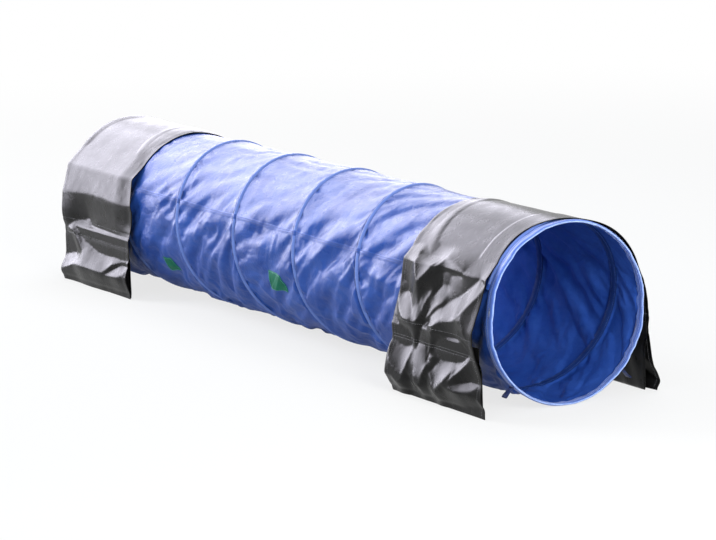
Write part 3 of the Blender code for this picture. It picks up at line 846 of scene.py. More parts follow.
for turn in range(spiral_turns):
    rows = []
    for offset in (-casing_sewing, casing_sewing):
        setback = rib_setback(turn + once_round / full_turn) + offset
        if setback.min() >= wall_start + 0.002:
            rows.append(sewn_line(wall_point(setback, once_round)))
            rows.append(sewn_line(on_tube(setback, once_round, tape_inner_radius + 0.0012), -1))
    if rows:
        dress(stitches(f"casing_stitches_{turn + 1}", rows, thread_blue), "tunnel", closes_up=True)

# Felled seams along the tube, with two rows of sewing each

seam_profile = np.array([-9, -8, -6, -3, 0, 3, 6, 8, 9]) / 1000
seam_lift = np.array([0.1, 0.9, 0.7, 1.1, 1.1, 1.1, 0.7, 0.9, 0.1]) / 1000
seam_sewing = 0.0036
for name, seam in (("near_seam", 0.0), ("far_seam", far_seam)):
    setback = wall_setbacks(np.array([seam]))[:, 0]
    around = seam + seam_profile / rib_radius
    points = wall_point(setback[:, None] + 0 * around, around + 0 * setback[:, None], seam_lift[None, :])
    uv = grid_of(setback[:, None], seam_profile[None, :])
    strip = grid_piece(name, points, seam_blue, uv, flip=True)
    dress(strip, "tunnel", name + "_tape", closes_up=True)
    rows = []
    for offset in (-seam_sewing, seam_sewing):
        lift = np.interp(offset, seam_profile, seam_lift)
        rows.append(sewn_line(wall_point(setback, seam + offset / rib_radius + 0 * setback, lift)))
    sewn = stitches(name + "_stitches", rows, thread_dark, length=0.0047, thickness=0.0009)
    dress(sewn, "tunnel", closes_up=True)

# Hems at the mouths, folded round the end rings: the section as (setback, radius) in mm, and its sewing

hem_profile = np.array([
    (36, 296.6), (33, 297.3), (30, 297.4), (27, 297.5), (24.6, 296.7), (22, 297.8), (18, 299.2),
    (14, 300.0), (10, 300.1), (6, 299.3), (2.5, 297.8), (0.6, 295.9), (0.2, 294.3), (1.2, 292.6),
    (4, 291.3), (8, 290.7), (13, 290.6), (18, 291.6), (22, 293.0), (24.6, 294.0), (27, 293.6),
    (30, 293.3), (31.5, 293.8), (31, 294.6), (30, 295.0),
]) / 1000
hem_middle_radius = 0.2945
hem_sewing = (((0.0246, 0.2967), 1), ((0.0246, 0.2940), -1), ((0.0080, 0.2907), -1))


def hem(name, body, node, front):
    """A folded hem, wavy at the rim and along its raw edges, with three rows of sewing."""
    columns = 720
    angle = np.arange(columns) * full_turn / columns
    setback, radius = hem_profile[:, :1], hem_profile[:, 1:]
    wave = soft_noise(2, columns, 2, 20, ring=True)[:1]
    fine = soft_noise(2, columns, 2, 6, ring=True)[:1]
    edge = smooth_step(0.014, 0.0, setback)
    inner = (radius < hem_middle_radius) * smooth_step(0.012, 0.03, setback)
    outer = (radius >= hem_middle_radius) * smooth_step(0.022, 0.03, setback)
    setback = setback + edge * (0.0022 * wave + 0.0010 * fine)
    setback = setback + inner * (0.0016 * wave + 0.0026 * fine - 0.001)
    radius = radius + np.minimum(0.0010 * (1 - edge) * wave - inner * 0.0010 * fine, 0.0008)
    radius = radius + 0.0003 * outer * fine
    if not front:
        setback = tube_length - setback
    points = on_tube(setback, angle[None, :], radius)
    points[..., 2] = np.maximum(points[..., 2], 0.0003)
    run = np.cumsum(np.r_[0, np.linalg.norm(np.diff(hem_profile, axis=0), axis=1)])
    uv = grid_of(run[:, None], angle[None, :] * rib_radius)
    made = grid_piece(name, points, hem_blue, uv, ring_rows=True, ring_columns=True, flip=front)
    # Where the hem is coloured paler: along the rim fold and the inner raw edge.
    from_rim = np.hypot(hem_profile[:, 0] - 0.0004, (hem_profile[:, 1] - 0.2952) * 0.6)
    inner_edge = (hem_profile[:, 1] < hem_middle_radius) * (hem_profile[:, 0] > 0.0285)
    pale_rim_share = np.maximum(smooth_step(0.0030, 0.0012, from_rim), 0.7 * inner_edge)
    mark(made, "edge", np.repeat(pale_rim_share, columns))
    dress(made, body, node)
    rows = []
    for place, facing in hem_sewing:
        row = int(np.abs(hem_profile - place).sum(axis=1).argmin())
        rows.append(sewn_line(np.concatenate([points[row], points[row][:1]]), facing))
    dress(stitches(name + "_stitches", rows, thread_pale), body)


hem("front_mouth_hem", "tunnel", "front_hem", True)
hem("rear_mouth_hem", "rear_mouth", "rear_hem", False)

# Patches sewn on the near flank

patch_points = 44
patch_sewing = 0.004


def patch(name):
    """A patch in its node's place on the wall, with a stitched border."""
    low_corner, high_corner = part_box(name)
    setback = np.linspace(front_x - high_corner[0], front_x - low_corner[0], patch_points)[:, None]
    ends = [near_seam_from_top + full_turn - math.atan2(-y, z - axis_height)
            for y, z in ((low_corner[1], high_corner[2]), (high_corner[1], low_corner[2]))]
    around = np.linspace(min(ends), max(ends), patch_points)[None, :]
    rim = np.minimum.reduce(np.broadcast_arrays(
        setback - setback[0], setback[-1] - setback, (around - around[:, :1]) * rib_radius,
        (around[:, -1:] - around) * rib_radius))
    lift = 0.0006 + 0.0012 * smooth_step(0, 0.002, rim)
    points = wall_point(setback + 0 * around, around + 0 * setback, lift)
    cloth = grid_piece(name + "_cloth", points, patch_green, grid_of(setback, around * rib_radius), flip=True)
    dress(cloth, "tunnel", name, closes_up=True)
    behind = (setback[0, 0] + patch_sewing, setback[-1, 0] - patch_sewing)
    turned = (around[0, 0] + patch_sewing / rib_radius, around[0, -1] - patch_sewing / rib_radius)
    corners = [(behind[i], turned[j]) for i, j in ((0, 0), (1, 0), (1, 1), (0, 1), (0, 0))]
    border = np.concatenate([np.linspace(one, two, 24) for one, two in zip(corners, corners[1:])])
    rows = [sewn_line(wall_point(border[:, 0], border[:, 1], 0.0019))]
    dress(stitches(name + "_stitches", rows, thread_green), "tunnel", closes_up=True)


patch("front_patch")
patch("rear_patch")

# Saddles: tarpaulin sheets laid over the tube, with a pouch of sand at each foot

sheet_half_width = 0.27
sheet_step = 0.009
sheet_radius = rib_radius + 0.0006
sheet_hem = 0.0225
sheet_fold_under = 0.0022
band_sewing = (0.186, 0.192, 0.246)

# Folds stand out only below this height, and this much more than their falls say
fold_top = 0.50
fold_strength = 1.35

# What a sheet lies on: how far the ribs, the closed tube, the rear hem and the pouches reach, and its gaps
rib_top_radius = rib_radius + 0.0004
closed_tube_radius = 0.3014
rear_hem_radius = 0.3012
pouch_reach = 0.3297
pouch_height = 0.225
sheet_rest = 0.0014
ground_gap = 0.0014
sheet_reach_limit = 0.3640

# Each side's line from the foot up to where the sheet leaves the tube, as (reach, height)
foot_line = [(0.336, 0.0016), (0.343, 0.025), (0.345, 0.06), (0.339, 0.12), (0.3300, 0.185), (0.3300, 0.235)]
front_near_line = foot_line + [(0.316, 0.30), (0.3080, 0.36), (0.2960, 0.44)]
rear_near_line = foot_line + [(0.322, 0.30), (0.3175, 0.36), (0.2940, 0.449)]
far_line = foot_line + [(0.318, 0.30), (0.305, 0.37)]
far_leaves = 62.0

# Folds, as (fall outward for each metre down, corners as (place along the saddle, height) in mm)
front_folds = (
    (0.48, ((-188, 452), (-165, 420), (-130, 372), (-105, 395), (-83, 414), (-62, 440), (-52, 458),
            (-188, 458))),
    (-0.50, ((-55, 420), (-18, 468), (50, 454), (110, 444), (110, 425), (20, 420))),
    (0.42, ((-263, 323), (-216, 334), (-181, 317), (-145, 277), (-131, 254), (-185, 252),
            (-236, 276), (-261, 298))),
    (0.42, ((-107, 254), (-111, 305), (-103, 352), (-60, 349), (-80, 301), (-90, 257))),
    (0.42, ((-72, 257), (-45, 306), (-48, 344), (-10, 385), (13, 392), (27, 369),
            (25, 327), (-7, 315), (-35, 292))),
    (0.36, ((-70, 238), (-13, 298), (53, 337), (126, 371), (190, 407), (226, 434), (267, 412),
            (251, 385), (178, 322), (103, 285), (45, 282), (6, 254))),
    (-0.30, ((-250, 280), (-216, 247), (-124, 249), (-83, 255), (-95, 194), (-111, 152),
             (-142, 186), (-192, 191), (-224, 202))),
    (-0.34, ((5, 260), (185, 299), (222, 255), (233, 199), (112, 197), (27, 182), (-24, 167),
             (-11, 221))),
    (0.40, ((-283, 182), (-246, 185), (-148, 185), (-135, 148), (-144, 98), (-171, 51),
            (-225, 74), (-256, 108))),
    (0.40, ((-71, 254), (-42, 256), (-40, 187), (-22, 126), (-44, 80), (-56, 52),
            (-100, 90), (-105, 153), (-96, 200))),
    (0.40, ((-21, 152), (11, 170), (67, 189), (102, 189), (123, 167), (129, 136), (85, 90),
            (33, 42), (11, 77), (-1, 107), (22, 143))),
    (0.40, ((119, 192), (144, 183), (245, 195), (184, 152), (114, 95), (122, 141))),
    (0.50, ((111, 79), (149, 95), (244, 109), (253, 92), (221, 80), (154, 67))),
    (-0.36, ((246, 188), (287, 183), (300, 120), (250, 112), (150, 98), (115, 89), (184, 145))),
    (-0.40, ((-200, 35), (-171, 50), (-140, 85), (-122, 79), (-57, 45), (-40, 75),
             (-15, 85), (32, 35), (85, 85), (110, 70), (244, 70), (300, 15), (-280, 15),
             (-280, 60), (-225, 70))),
    (-0.36, ((-135, 185), (-105, 185), (-105, 90), (-125, 60), (-150, 85), (-135, 145))),
    (-0.36, ((-38, 185), (-21, 165), (10, 140), (-3, 105), (5, 70), (-35, 85), (-20, 126))),
)
rear_folds = (
    (0.01, ((-290, 440), (-20, 449), (290, 440), (290, 354), (50, 343), (-170, 350), (-290, 345))),
    (-0.12, ((-290, 340), (-170, 345), (50, 338), (290, 349), (290, 170), (15, 170), (-40, 262),
             (-150, 245), (-290, 200))),
    (0.30, ((-255, 207), (-186, 236), (-84, 258), (-43, 210), (-28, 162), (31, 163),
            (-107, 131), (-141, 176), (-189, 201))),
    (-0.30, ((-257, 191), (-189, 201), (-146, 156), (-122, 121), (-210, 128), (-247, 142))),
    (0.30, ((-285, 70), (-226, 126), (-153, 105), (-91, 137), (14, 164), (140, 159), (242, 144),
            (293, 133), (150, 112), (90, 76), (-36, 76), (-164, 73), (-268, 34))),
    (-0.50, ((90, 72), (107, 75), (150, 112), (243, 137), (285, 130), (263, 121), (206, 120),
             (150, 95))),
    (0.40, ((107, 70), (150, 90), (206, 116), (263, 118), (255, 95), (204, 74))),
    (-0.26, ((-268, 30), (-164, 69), (-36, 72), (85, 70), (107, 66), (204, 70), (290, 80),
             (290, 15), (-285, 15))),
)

# How far each saddle's edges are drawn in at these heights, at the mouth and then towards the middle
edge_heights = (0, 0.03, 0.11, 0.20, 0.27, 0.33, 0.44, 0.50, 0.60)
front_edges = ((-0.012, -0.012, 0.000, 0.018, 0.030, 0.022, 0, 0, 0),
               (0.010, 0.010, 0.012, 0.010, 0.008, 0.012, 0.020, 0.004, 0))
rear_edges = ((0, 0, 0.006, 0.008, 0.006, 0, -0.012, -0.030, -0.044),
              (0, 0, 0, 0, -0.002, -0.010, 0.030, 0.050, 0.058))

# Each saddle's near line, the angle from the top where it leaves the tube, its folds on both sides, its
# edges, and how far the mouth's edge is drawn back past the near flank
saddles = (
    ("front_saddle", front_near_line, 50.0, front_folds, rear_folds, front_edges, 0.046),
    ("rear_saddle", rear_near_line, 38.0, rear_folds, front_folds, rear_edges, 0.0),
)


def facet_falls(along, height, folds):
    """How fast the cloth falls outward at each place, from a list of folds."""
    total = np.zeros_like(along)
    for fall, corners in folds:
        corners = np.array(corners) / 1000
        inside = np.zeros(along.shape, bool)
        nearest = np.full(along.shape, 9.0)
        for (x1, z1), (x2, z2) in zip(corners, np.roll(corners, -1, axis=0)):
            crosses = (z1 > height) != (z2 > height)
            inside ^= crosses & (along < x1 + (height - z1) / (z2 - z1 + 1e-9) * (x2 - x1))
            run = (x2 - x1) ** 2 + (z2 - z1) ** 2
            share = np.clip(((along - x1) * (x2 - x1) + (height - z1) * (z2 - z1)) / run, 0, 1)
            apart = np.hypot(along - x1 - share * (x2 - x1), height - z1 - share * (z2 - z1))
            nearest = np.minimum(nearest, apart)
        depth = np.where(inside, nearest, -nearest)
        total += fall * smooth_step(-0.004, 0.005, depth)
    return total


def raised(rise_up, hold):
    """The surface whose slopes upward are nearest to those asked for, and that is nearly level along the
    saddle. Rows run along, columns run up."""
    rise_up = rise_up * sheet_step
    shape = np.zeros(rise_up.shape)
    soft = 0.35
    for _ in range(900):
        total = np.zeros_like(shape)
        count = np.full(shape.shape, 1e-4) + hold
        total[:, 1:] += shape[:, :-1] + rise_up[:, :-1]
        total[:, :-1] += shape[:, 1:] - rise_up[:, :-1]
        count[:, 1:] += 1
        count[:, :-1] += 1
        total[1:] += soft * shape[:-1]
        total[:-1] += soft * shape[1:]
        count[1:] += soft
        count[:-1] += soft
        shape = total / count
    return shape


def fold_relief(x, z, near_folds, far_folds):
    """How far the folds stand out from the plain sheet, on its near half and on its far half."""
    half = x.shape[1] // 2
    out = np.zeros_like(x)
    for folds, side, turned in ((near_folds, slice(0, half), 1), (far_folds, slice(half, None), -1)):
        height = z[:, side]
        falls = facet_falls(turned * x[:, side], height, folds)
        rise_up = -fold_strength * falls * np.clip((fold_top - height) / 0.03, 0, 1) * turned
        hold = 0.004 + 3.0 * (height > fold_top)
        out[:, side] = raised(rise_up, hold)
    return np.clip(out, -0.02, 0.022)


def saddle_section(near_line, near_leaves):
    """The sheet's own line from the near foot over the tube to the far foot, in even steps."""
    turn = np.linspace(math.radians(near_leaves), -math.radians(far_leaves), 120)
    over = np.stack([-sheet_radius * np.sin(turn), axis_height + sheet_radius * np.cos(turn)], axis=1)
    line = np.concatenate([np.array(near_line) * (-1, 1), over, np.array(far_line)[::-1]])
    run = np.r_[0, np.cumsum(np.linalg.norm(np.diff(line, axis=0), axis=1))]
    at = np.linspace(0, run[-1], round(run[-1] / sheet_step) + 1)
    return np.stack([np.interp(at, run, line[:, k]) for k in range(2)], axis=1), at


def reach_of_wall():
    """How far from the axis the wall, the hems and the closed tube reach round each point of its net."""
    setback, angle = wall_net(fine_step)
    points = wall_point(setback, angle)
    reach = np.hypot(points[..., 1], points[..., 2] - axis_height)
    held, _, _ = rib_distance(setback, angle)
    reach = np.where(np.abs(held) < fine_step, np.maximum(reach, rib_top_radius), reach)
    reach = np.where(setback < closed_length + 0.03, np.maximum(reach, closed_tube_radius), reach)
    reach = np.where(setback > tube_length - 0.036, np.maximum(reach, rear_hem_radius), reach)
    near = range(-2, 3)
    most = np.maximum.reduce([np.roll(reach, (i, j), (0, 1)) for i in near for j in near])
    return sum(np.roll(most, (i, j), (0, 1)) for i in near for j in near) / 25


wall_reach = reach_of_wall()


def reach_under(x, y, z):
    """How far the wall reaches where a point lies over it. z is from the tube's axis."""
    rows, columns = wall_reach.shape
    row = np.clip((front_x - x - wall_start) / (wall_end - wall_start) * (rows - 1), 0, rows - 1.001)
    angle = near_seam_from_top - np.arctan2(-y, z)
    column = (angle / full_turn * columns) % columns
    i, j = row.astype(int), column.astype(int)
    down, side = row - i, column - j
    this, after = (
        wall_reach[i, k % columns] * (1 - down) + wall_reach[i + 1, k % columns] * down for k in (j, j + 1)
    )
    return this * (1 - side) + after * side


def keep_sheet(points):
    """Keeps a saddle's sheet off the tube, the pouches and the ground."""
    x, y, z = points[..., 0], points[..., 1], points[..., 2] - axis_height
    grow = np.maximum(1, (sheet_rest + reach_under(x, y, z)) / np.hypot(y, z))
    y, z = y * grow, z * grow
    height = z + axis_height
    reach = np.where(height < pouch_height + 0.003, pouch_reach, 0)
    points[..., 1] = np.sign(y) * np.clip(np.abs(y), reach, sheet_reach_limit)
    points[..., 2] = np.maximum(height, ground_gap)
    return points


def saddle_shape(middle, line, at, near_folds, far_folds, edges_drawn_in, edge_back):
    """The sheet with its folds raised and its edges drawn in, before it settles, and where it is a side."""
    rows = round(2 * sheet_half_width / sheet_step) + 1
    x = np.linspace(-sheet_half_width, sheet_half_width, rows)[:, None] + 0 * at[None, :]
    y = line[None, :, 0] + 0 * x
    z = line[None, :, 1] + 0 * x
    mouthward = 1 if middle > 0 else -1
    edge = mouthward * x / sheet_half_width
    # The edge at the mouth stands off a little, and the one towards the middle of the tube hugs it.
    flare = smooth_step(0.35, 1.0, edge) * hill(z - 0.275, 0.11)
    hug = smooth_step(-0.55, -1.0, edge) * smooth_step(0.22, 0.29, z)
    lifted = fold_relief(x, z, near_folds, far_folds) + 0.014 * flare - 0.010 * hug
    patchy = soft_noise(*x.shape, 9, 9)
    crinkled = 0.0002 * soft_noise(*x.shape, 3, 3) + 0.0008 * patchy
    on_side = smooth_step(0.50, 0.40, z)
    lifted = lifted + crinkled * on_side
    shaped = grid_of(x + middle, y + np.sign(y) * lifted, z + 0.0005 * patchy * (1 - on_side))
    # On top the edge towards the middle of the tube lies in close. Past the crest the other lifts a little.
    on_top = smooth_step(0.42, 0.50, z)
    past_crest = hill(np.arctan2(y, z - axis_height) - 0.75, 0.70)
    off = 0.010 * smooth_step(0.55, 1.0, edge) * past_crest - 0.003 * smooth_step(-0.86, -1.0, edge) * on_top
    outward = grid_of(0 * x, y, z - axis_height)
    shaped = shaped + outward / np.linalg.norm(outward, axis=-1)[..., None] * off[..., None]
    # Both edges wander, and the mouth's is drawn in once more past the near flank.
    at_mouth, at_middle = (np.interp(z, edge_heights, drawn) for drawn in edges_drawn_in)
    drawn = smooth_step(0.3, 1.0, edge) * at_mouth - smooth_step(-0.3, -1.0, edge) * at_middle
    drawn += edge_back * smooth_step(0.3, 1.0, edge) * hill(at - 0.62, 0.32)[None, :]
    shaped[..., 0] -= mouthward * drawn
    return keep_sheet(shaped), on_side


def saddle_sewing(name, cloth, outward, heights):
    """Sewing along both hems, and the rows that hold the pouches on each side."""
    rows = []
    for edge_row in (4, len(cloth) - 5):
        rows.append((cloth[edge_row, 2:-2], outward[edge_row, 2:-2]))
    half = len(heights) // 2
    for sewn_height in band_sewing:
        for side in (np.arange(half), np.arange(half, len(heights))):
            place = np.abs(heights[side] - sewn_height).argmin() + side[0]
            rows.append((cloth[2:-2, place], outward[2:-2, place]))
    sewn = stitches(name + "_stitches", rows, thread_grey, length=0.0050, pitch=0.0072, thickness=0.0006)
    dress(sewn, name)


def saddle_sheet(name, middle, near_line, near_leaves, near_folds, far_folds, edges_drawn_in, edge_back):
    """A saddle's sheet: laid over the tube, settled, then made finer and given its hems and sewing."""
    line, at = saddle_section(near_line, near_leaves)
    shaped, on_side = saddle_shape(middle, line, at, near_folds, far_folds, edges_drawn_in, edge_back)
    rows, columns = on_side.shape
    spare = np.clip((0.001 + 0.004 * on_side) * (1 + 0.5 * soft_noise(rows, columns, 14, 14)), 0.001, 0.03)
    lean = np.pi / 2 + 0.9 * soft_noise(rows, columns, 18, 18)
    links = cloth_links(shaped, spare, lean, 0.0, False, 0.5)
    cloth = settle(shaped, links, 60, 1.0, (0, 0, -5e-6), keep_sheet, 0.03, shaped)
    finer_rows, finer_columns = 2 * rows - 1, 2 * columns - 1
    row = np.linspace(0, rows - 1, finer_rows)[:, None]
    column = np.linspace(0, columns - 1, finer_columns)[None, :]
    cloth = sample(cloth, row, column)
    heights = np.interp(column[0], np.arange(columns), line[:, 1])
    along = np.linspace(-sheet_half_width, sheet_half_width, finer_rows)
    at = np.linspace(0, at[-1], finer_columns)
    # Hems folded under at both edges, and grooves along the rows of sewing
    outward = outward_of(cloth)
    from_edge = (sheet_half_width - np.abs(along))[:, None]
    folded = 0.0008 * smooth_step(sheet_hem + 0.0015, sheet_hem - 0.0015, from_edge)
    folded = folded - 0.0006 * hill(from_edge - 0.0185, 0.004)
    for sewn_height in band_sewing:
        folded = folded - 0.0009 * hill(heights - sewn_height, 0.008)[None, :]
    cloth = cloth + outward * folded[..., None]
    cloth[..., 2] = np.maximum(cloth[..., 2], 0.0012)
    saddle_sewing(name, cloth, outward, heights)
    lip = cloth[[0, -1]] - outward[[0, -1]] * sheet_fold_under
    lip = lip + np.array([[[0.0006, 0, 0]], [[-0.0006, 0, 0]]])
    lip[..., 2] = np.maximum(lip[..., 2], 0.0008)
    cloth = np.concatenate([lip[:1], cloth, lip[1:]])
    along = np.concatenate([along[:1] - 0.002, along, along[-1:] + 0.002])
    made = grid_piece(name + "_cover", cloth, tarpaulin, grid_of(along[:, None], at[None, :]))
    dress(made, name, name + "_sheet")


def bag(name, node, body, material, outline, shrink):
    """A sewn bag with pinched ends. Outline gives its inner and outer face at each height, as shares."""
    low_corner, high_corner = (np.array(c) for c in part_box(node))
    low_corner, high_corner = low_corner + shrink, high_corner - shrink
    size = high_corner - low_corner
    rows, around = 72, 48
    share = np.linspace(0, 1, rows)[:, None]
    turn = (np.arange(around) + 0.5) / around * full_turn
    up = (0.5 - 0.5 * np.cos(turn))[None, :] + 0 * share
    heights, inner, outer = np.array(outline).T
    faces_out = (turn > math.pi)[None, :]
    side = np.where(faces_out, np.interp(up, heights, outer), np.interp(up, heights, inner))
    ends = np.clip(1 - np.abs(2 * share - 1) ** 9, 0, 1) ** 0.5
    centre = (np.interp(up, heights, outer) + np.interp(up, heights, inner)) / 2
    crinkle = 1 - 0.12 * np.abs(np.sin(share * 19 + 3 * up)) - 0.06 * np.sin(share * 43 + 9 * up)
    side = centre + (side - centre) * (0.12 + 0.88 * ends) * np.clip(crinkle, 0, 1)
    sign = 1 if low_corner[1] + high_corner[1] > 0 else -1
    near_axis = low_corner[1] if sign > 0 else high_corner[1]
    x = low_corner[0] + size[0] * share + 0 * side
    y = near_axis + sign * side * size[1]
    z = low_corner[2] + size[2] * up
    points = grid_of(x, y, z)
    faces = grid_faces(rows, around, ring_columns=True, flip=sign > 0)
    caps = []
    for row, turned in ((0, sign > 0), (rows - 1, sign < 0)):
        for k in range(around // 2 - 1):
            corner = [row * around + n for n in (k, k + 1, around - 2 - k, around - 1 - k)]
            caps.append(corner if turned else corner[::-1])
    made = mesh_piece(name, points.reshape(-1, 3), np.concatenate([faces, np.array(caps)]), material,
                      np.stack([x, z + y], axis=-1))
    dress(made, body, node)


# Height, inner face and outer face: wide round the sand, then pinched to the closure
pouch_outline = [(0, .42, .50), (.02, .12, .88), (.08, 0, 1), (.30, 0, 1), (.64, 0, 1), (.70, .22, 1),
                 (.78, .76, 1), (.97, .78, .99), (1, .86, .92)]
sand_outline = [(0, .44, .56), (.03, .16, .84), (.12, 0, 1), (.80, .02, .98), (.93, .18, .82), (1, .42, .58)]

for saddle, near_line, near_leaves, near_folds, far_folds, edges, back in saddles:
    low_corner, high_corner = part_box(saddle + "_sheet")
    middle = (low_corner[0] + high_corner[0]) / 2
    saddle_sheet(saddle, middle, near_line, near_leaves, near_folds, far_folds, edges, back)
    for side in ("near", "far"):
        pouch = f"{saddle}_{side}"
        bag(pouch + "_pouch", pouch + "_pocket", saddle, pouch_black, pouch_outline, 0.0)
        bag(pouch + "_sand", pouch + "_sand_bag", saddle, sand_cloth, sand_outline, 0.0006)

# Webbing loops for pegs, folded and sewn into the hems

tab_width = 0.024
tab_reach = 0.045
tab_thickness = 0.0011
tab_setback = 0.015
tab_from_top = math.radians(135)
tab_sewing = (0.009, 0.013)
frame_x = np.array((1.0, 0, 0))


def peg_tab(name, node, body, from_top, setback):
    """A loop of webbing that stands out from the hem, its two legs side by side."""
    out = np.array((0, -math.sin(from_top), math.cos(from_top)))
    along = np.array((0, math.cos(from_top), math.sin(from_top)))
    root = np.array((front_x - setback, 0, axis_height))
    leg = np.linspace(0, 1, 26)
    reach = np.concatenate([leg, leg[-2::-1]]) * (tab_reach - 0.0022)
    gap = 0.0007 + 0.0016 * bell(reach - tab_reach * 0.86, 0.011)
    side = np.concatenate([-np.ones(25), [0.0], np.ones(25)])
    reach = reach + 0.0008 * (side == 0)
    droop = 0.0016 * np.sin(reach / tab_reach * 2.2) ** 2
    middle = root + out * (rib_radius + 0.0004 + reach)[:, None] + along * (side * gap + droop)[:, None]
    ahead = np.gradient(middle, axis=0)
    ahead /= np.linalg.norm(ahead, axis=1)[:, None]
    face = np.cross(ahead, frame_x)
    half = tab_width / 2
    upper = [(half, 0.3), (half * 0.96, 0.5), (0, 0.5), (-half * 0.96, 0.5), (-half, 0.3)]
    rim = np.array([(x, -z) for x, z in upper[::-1]] + upper)
    ring = middle[:, None] + rim[None, :, :1] * frame_x + rim[None, :, 1:] * tab_thickness * face[:, None]
    dress(grid_piece(name, ring, webbing, ring_columns=True), body, node)
    rows = []
    for reach in tab_sewing:
        line = root + out * (rib_radius + reach)
        line = line + along * (0.0021 + 0.0016 * math.sin(reach / tab_reach * 2.2) ** 2)
        line = line + np.linspace(-half * 0.8, half * 0.8, 12)[:, None] * frame_x
        rows.append((line, np.tile(along, (12, 1))))
    dress(stitches(name + "_stitches", rows, thread_blue, length=0.003, pitch=0.0042), body)


mouths = (("front", "tunnel", tab_setback), ("rear", "rear_mouth", tube_length - tab_setback))
for mouth, body, setback in mouths:
    for side, from_top in (("near", tab_from_top), ("far", -tab_from_top)):
        peg_tab(f"{mouth}_{side}_loop", f"{mouth}_{side}_peg_tab", body, from_top, setback)

# Better finishes for the solids that keep their own shape

finishes = {
    "_ring": wire_steel, "_ring_sleeve": sleeve_metal, "_wire_cap": cap_black,
    "_loop_strip": hook_black, "_hook_strip": hook_black,
}
for name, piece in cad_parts.items():
    for ending, finish in finishes.items():
        if name.endswith(ending):
            piece.data.materials.clear()
            piece.data.materials.append(finish)

# Camera, at the photograph's angle

photo_width = 716
pixels_to_focus = 3241
camera_azimuth = math.radians(59.002)
camera_elevation = math.radians(10.994)
camera_roll = math.radians(-1.58)
camera_distance = 11.728
camera_target = np.array((-0.0744, 0.1688, 0.1802))
camera_back = np.array((
    math.sin(camera_azimuth) * math.cos(camera_elevation),
    -math.cos(camera_azimuth) * math.cos(camera_elevation),
    math.sin(camera_elevation),
))
camera_data = bpy.data.cameras.new("camera")
camera_data.sensor_width = 36
camera_data.lens = pixels_to_focus / photo_width * camera_data.sensor_width
camera_data.clip_end = 100
camera = bpy.data.objects.new("camera", camera_data)
camera.location = camera_target + camera_back * camera_distance
camera.rotation_mode = "QUATERNION"
towards_target = Vector(-camera_back).to_track_quat("-Z", "Y")
camera.rotation_quaternion = towards_target @ Matrix.Rotation(camera_roll, 4, "Z").to_quaternion()
bpy.context.scene.collection.objects.link(camera)
bpy.context.scene.camera = camera
bpy.context.scene.view_settings.view_transform = "Standard"

# World: plain light on the object, and white behind it


def cleared(owner):
    """The emptied node tree of a material or of the world."""
    owner.use_nodes = True
    owner.node_tree.nodes.clear()
    return Tree(owner.node_tree)


def seen_directly(tree):
    """1 for rays from the camera, and for those that mirror or pass through something."""
    path = tree.add("LightPath").node
    share = path.outputs["Is Camera Ray"]
    for kind in ("Is Glossy Ray", "Is Transmission Ray"):
        share = tree.math("MAXIMUM", share, path.outputs[kind])
    return share


world = bpy.data.worlds.new("studio")
bpy.context.scene.world = world
tree = cleared(world)
plain = tree.add("Background", Color=(0.86, 0.93, 1.0, 1), Strength=0.38)
white = tree.add("Background", Color=(1, 1, 1, 1), Strength=1.0)
tree.add("OutputWorld", i0=tree.add("MixShader", i0=seen_directly(tree), i1=plain, i2=white))


def lamp(name, place, aim, width, height, power, colour, lights, mirrored):
    """A soft lamp. Lights is whether it lights surfaces, and mirrored whether glossy ones show it."""
    data = bpy.data.lights.new(name, "AREA")
    data.shape = "RECTANGLE"
    data.size = width
    data.size_y = height
    data.energy = power
    data.color = colour
    made = bpy.data.objects.new(name, data)
    bpy.context.scene.collection.objects.link(made)
    made.location = place
    made.visible_diffuse = lights
    made.visible_glossy = mirrored
    made.rotation_euler = (Vector(aim) - Vector(place)).to_track_quat("-Z", "Y").to_euler()


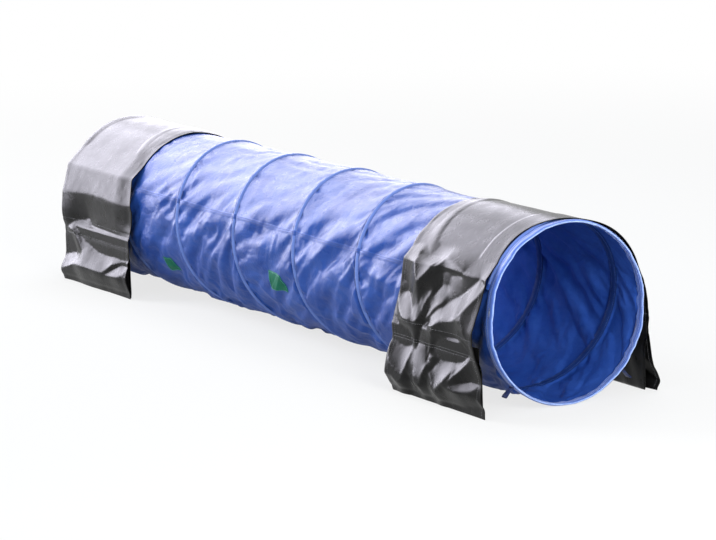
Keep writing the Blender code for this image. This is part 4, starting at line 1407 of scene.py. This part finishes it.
# A bright sky behind the far end, which the coated cloth mirrors, and plain soft light from the same side
sky = (0.885, 0.865, 1.0)
centre = (0, 0, 0.3)
lamp("sky beyond", (-8.2, -3.66, 3.8), centre, 6.9, 7.6, 1800, sky, False, True)
lamp("sky between", (-8.96, 0.86, 3.8), centre, 2.7, 7.6, 560, sky, False, True)
lamp("sky aside", (-8.1, 3.95, 3.8), centre, 3.8, 7.6, 370, sky, False, True)
lamp("key", (-6.0, -4.2, 4.6), centre, 4.0, 4.0, 620, (0.97, 0.97, 1.0), True, False)
lamp("overhead", (-1.0, 2.0, 5.5), centre, 3.5, 3.5, 170, (0.97, 0.97, 1.0), True, False)
lamp("side", (2.5, -7.0, 3.4), centre, 4.0, 4.0, 110, (0.98, 0.99, 1.0), True, False)
lamp("mouth", (6.0, -0.9, 2.4), (1.3, 0.05, 0.1), 2.0, 2.0, 300, (1, 1, 1), True, False)

# Daylight that the cloth lets through
for x in (0.35, -0.55):
    glow = bpy.data.lights.new("inside", "POINT")
    glow.energy = 6.0
    glow.shadow_soft_size = 0.14
    glow.color = (0.95, 0.90, 1.0)
    inside = bpy.data.objects.new("inside", glow)
    bpy.context.scene.collection.objects.link(inside)
    inside.location = (x, 0, 0.34)
    inside.visible_camera = False
    inside.visible_glossy = False

# Floor: it takes the object's shadow, and turns white away from it
floor_half = 60
corners = [(x * floor_half, y * floor_half, 0) for x, y in ((-1, -1), (1, -1), (1, 1), (-1, 1))]
paint = bpy.data.materials.new("floor")
floor = mesh_piece("floor", corners, [(0, 1, 2, 3)], paint)
floor.location.z = -0.0005
tree = cleared(paint)
matt = tree.add("BsdfDiffuse", Color=(0.66, 0.67, 0.66, 1))
white = tree.add("Emission", Color=(1, 1, 1, 1))
place = tree.add("TexCoord", out="Object")
reach = tree.add("VectorMath", out="Value", settings=dict(operation="LENGTH"), i0=place)
fade = tree.add("MapRange", settings=dict(interpolation_type="SMOOTHSTEP"), Value=reach,
                i1=2.0, i2=7.5, i3=0.76, i4=1.0)
amount = tree.math("MULTIPLY", seen_directly(tree), fade)
tree.add("OutputMaterial", i0=tree.add("MixShader", i0=amount, i1=matt, i2=white))
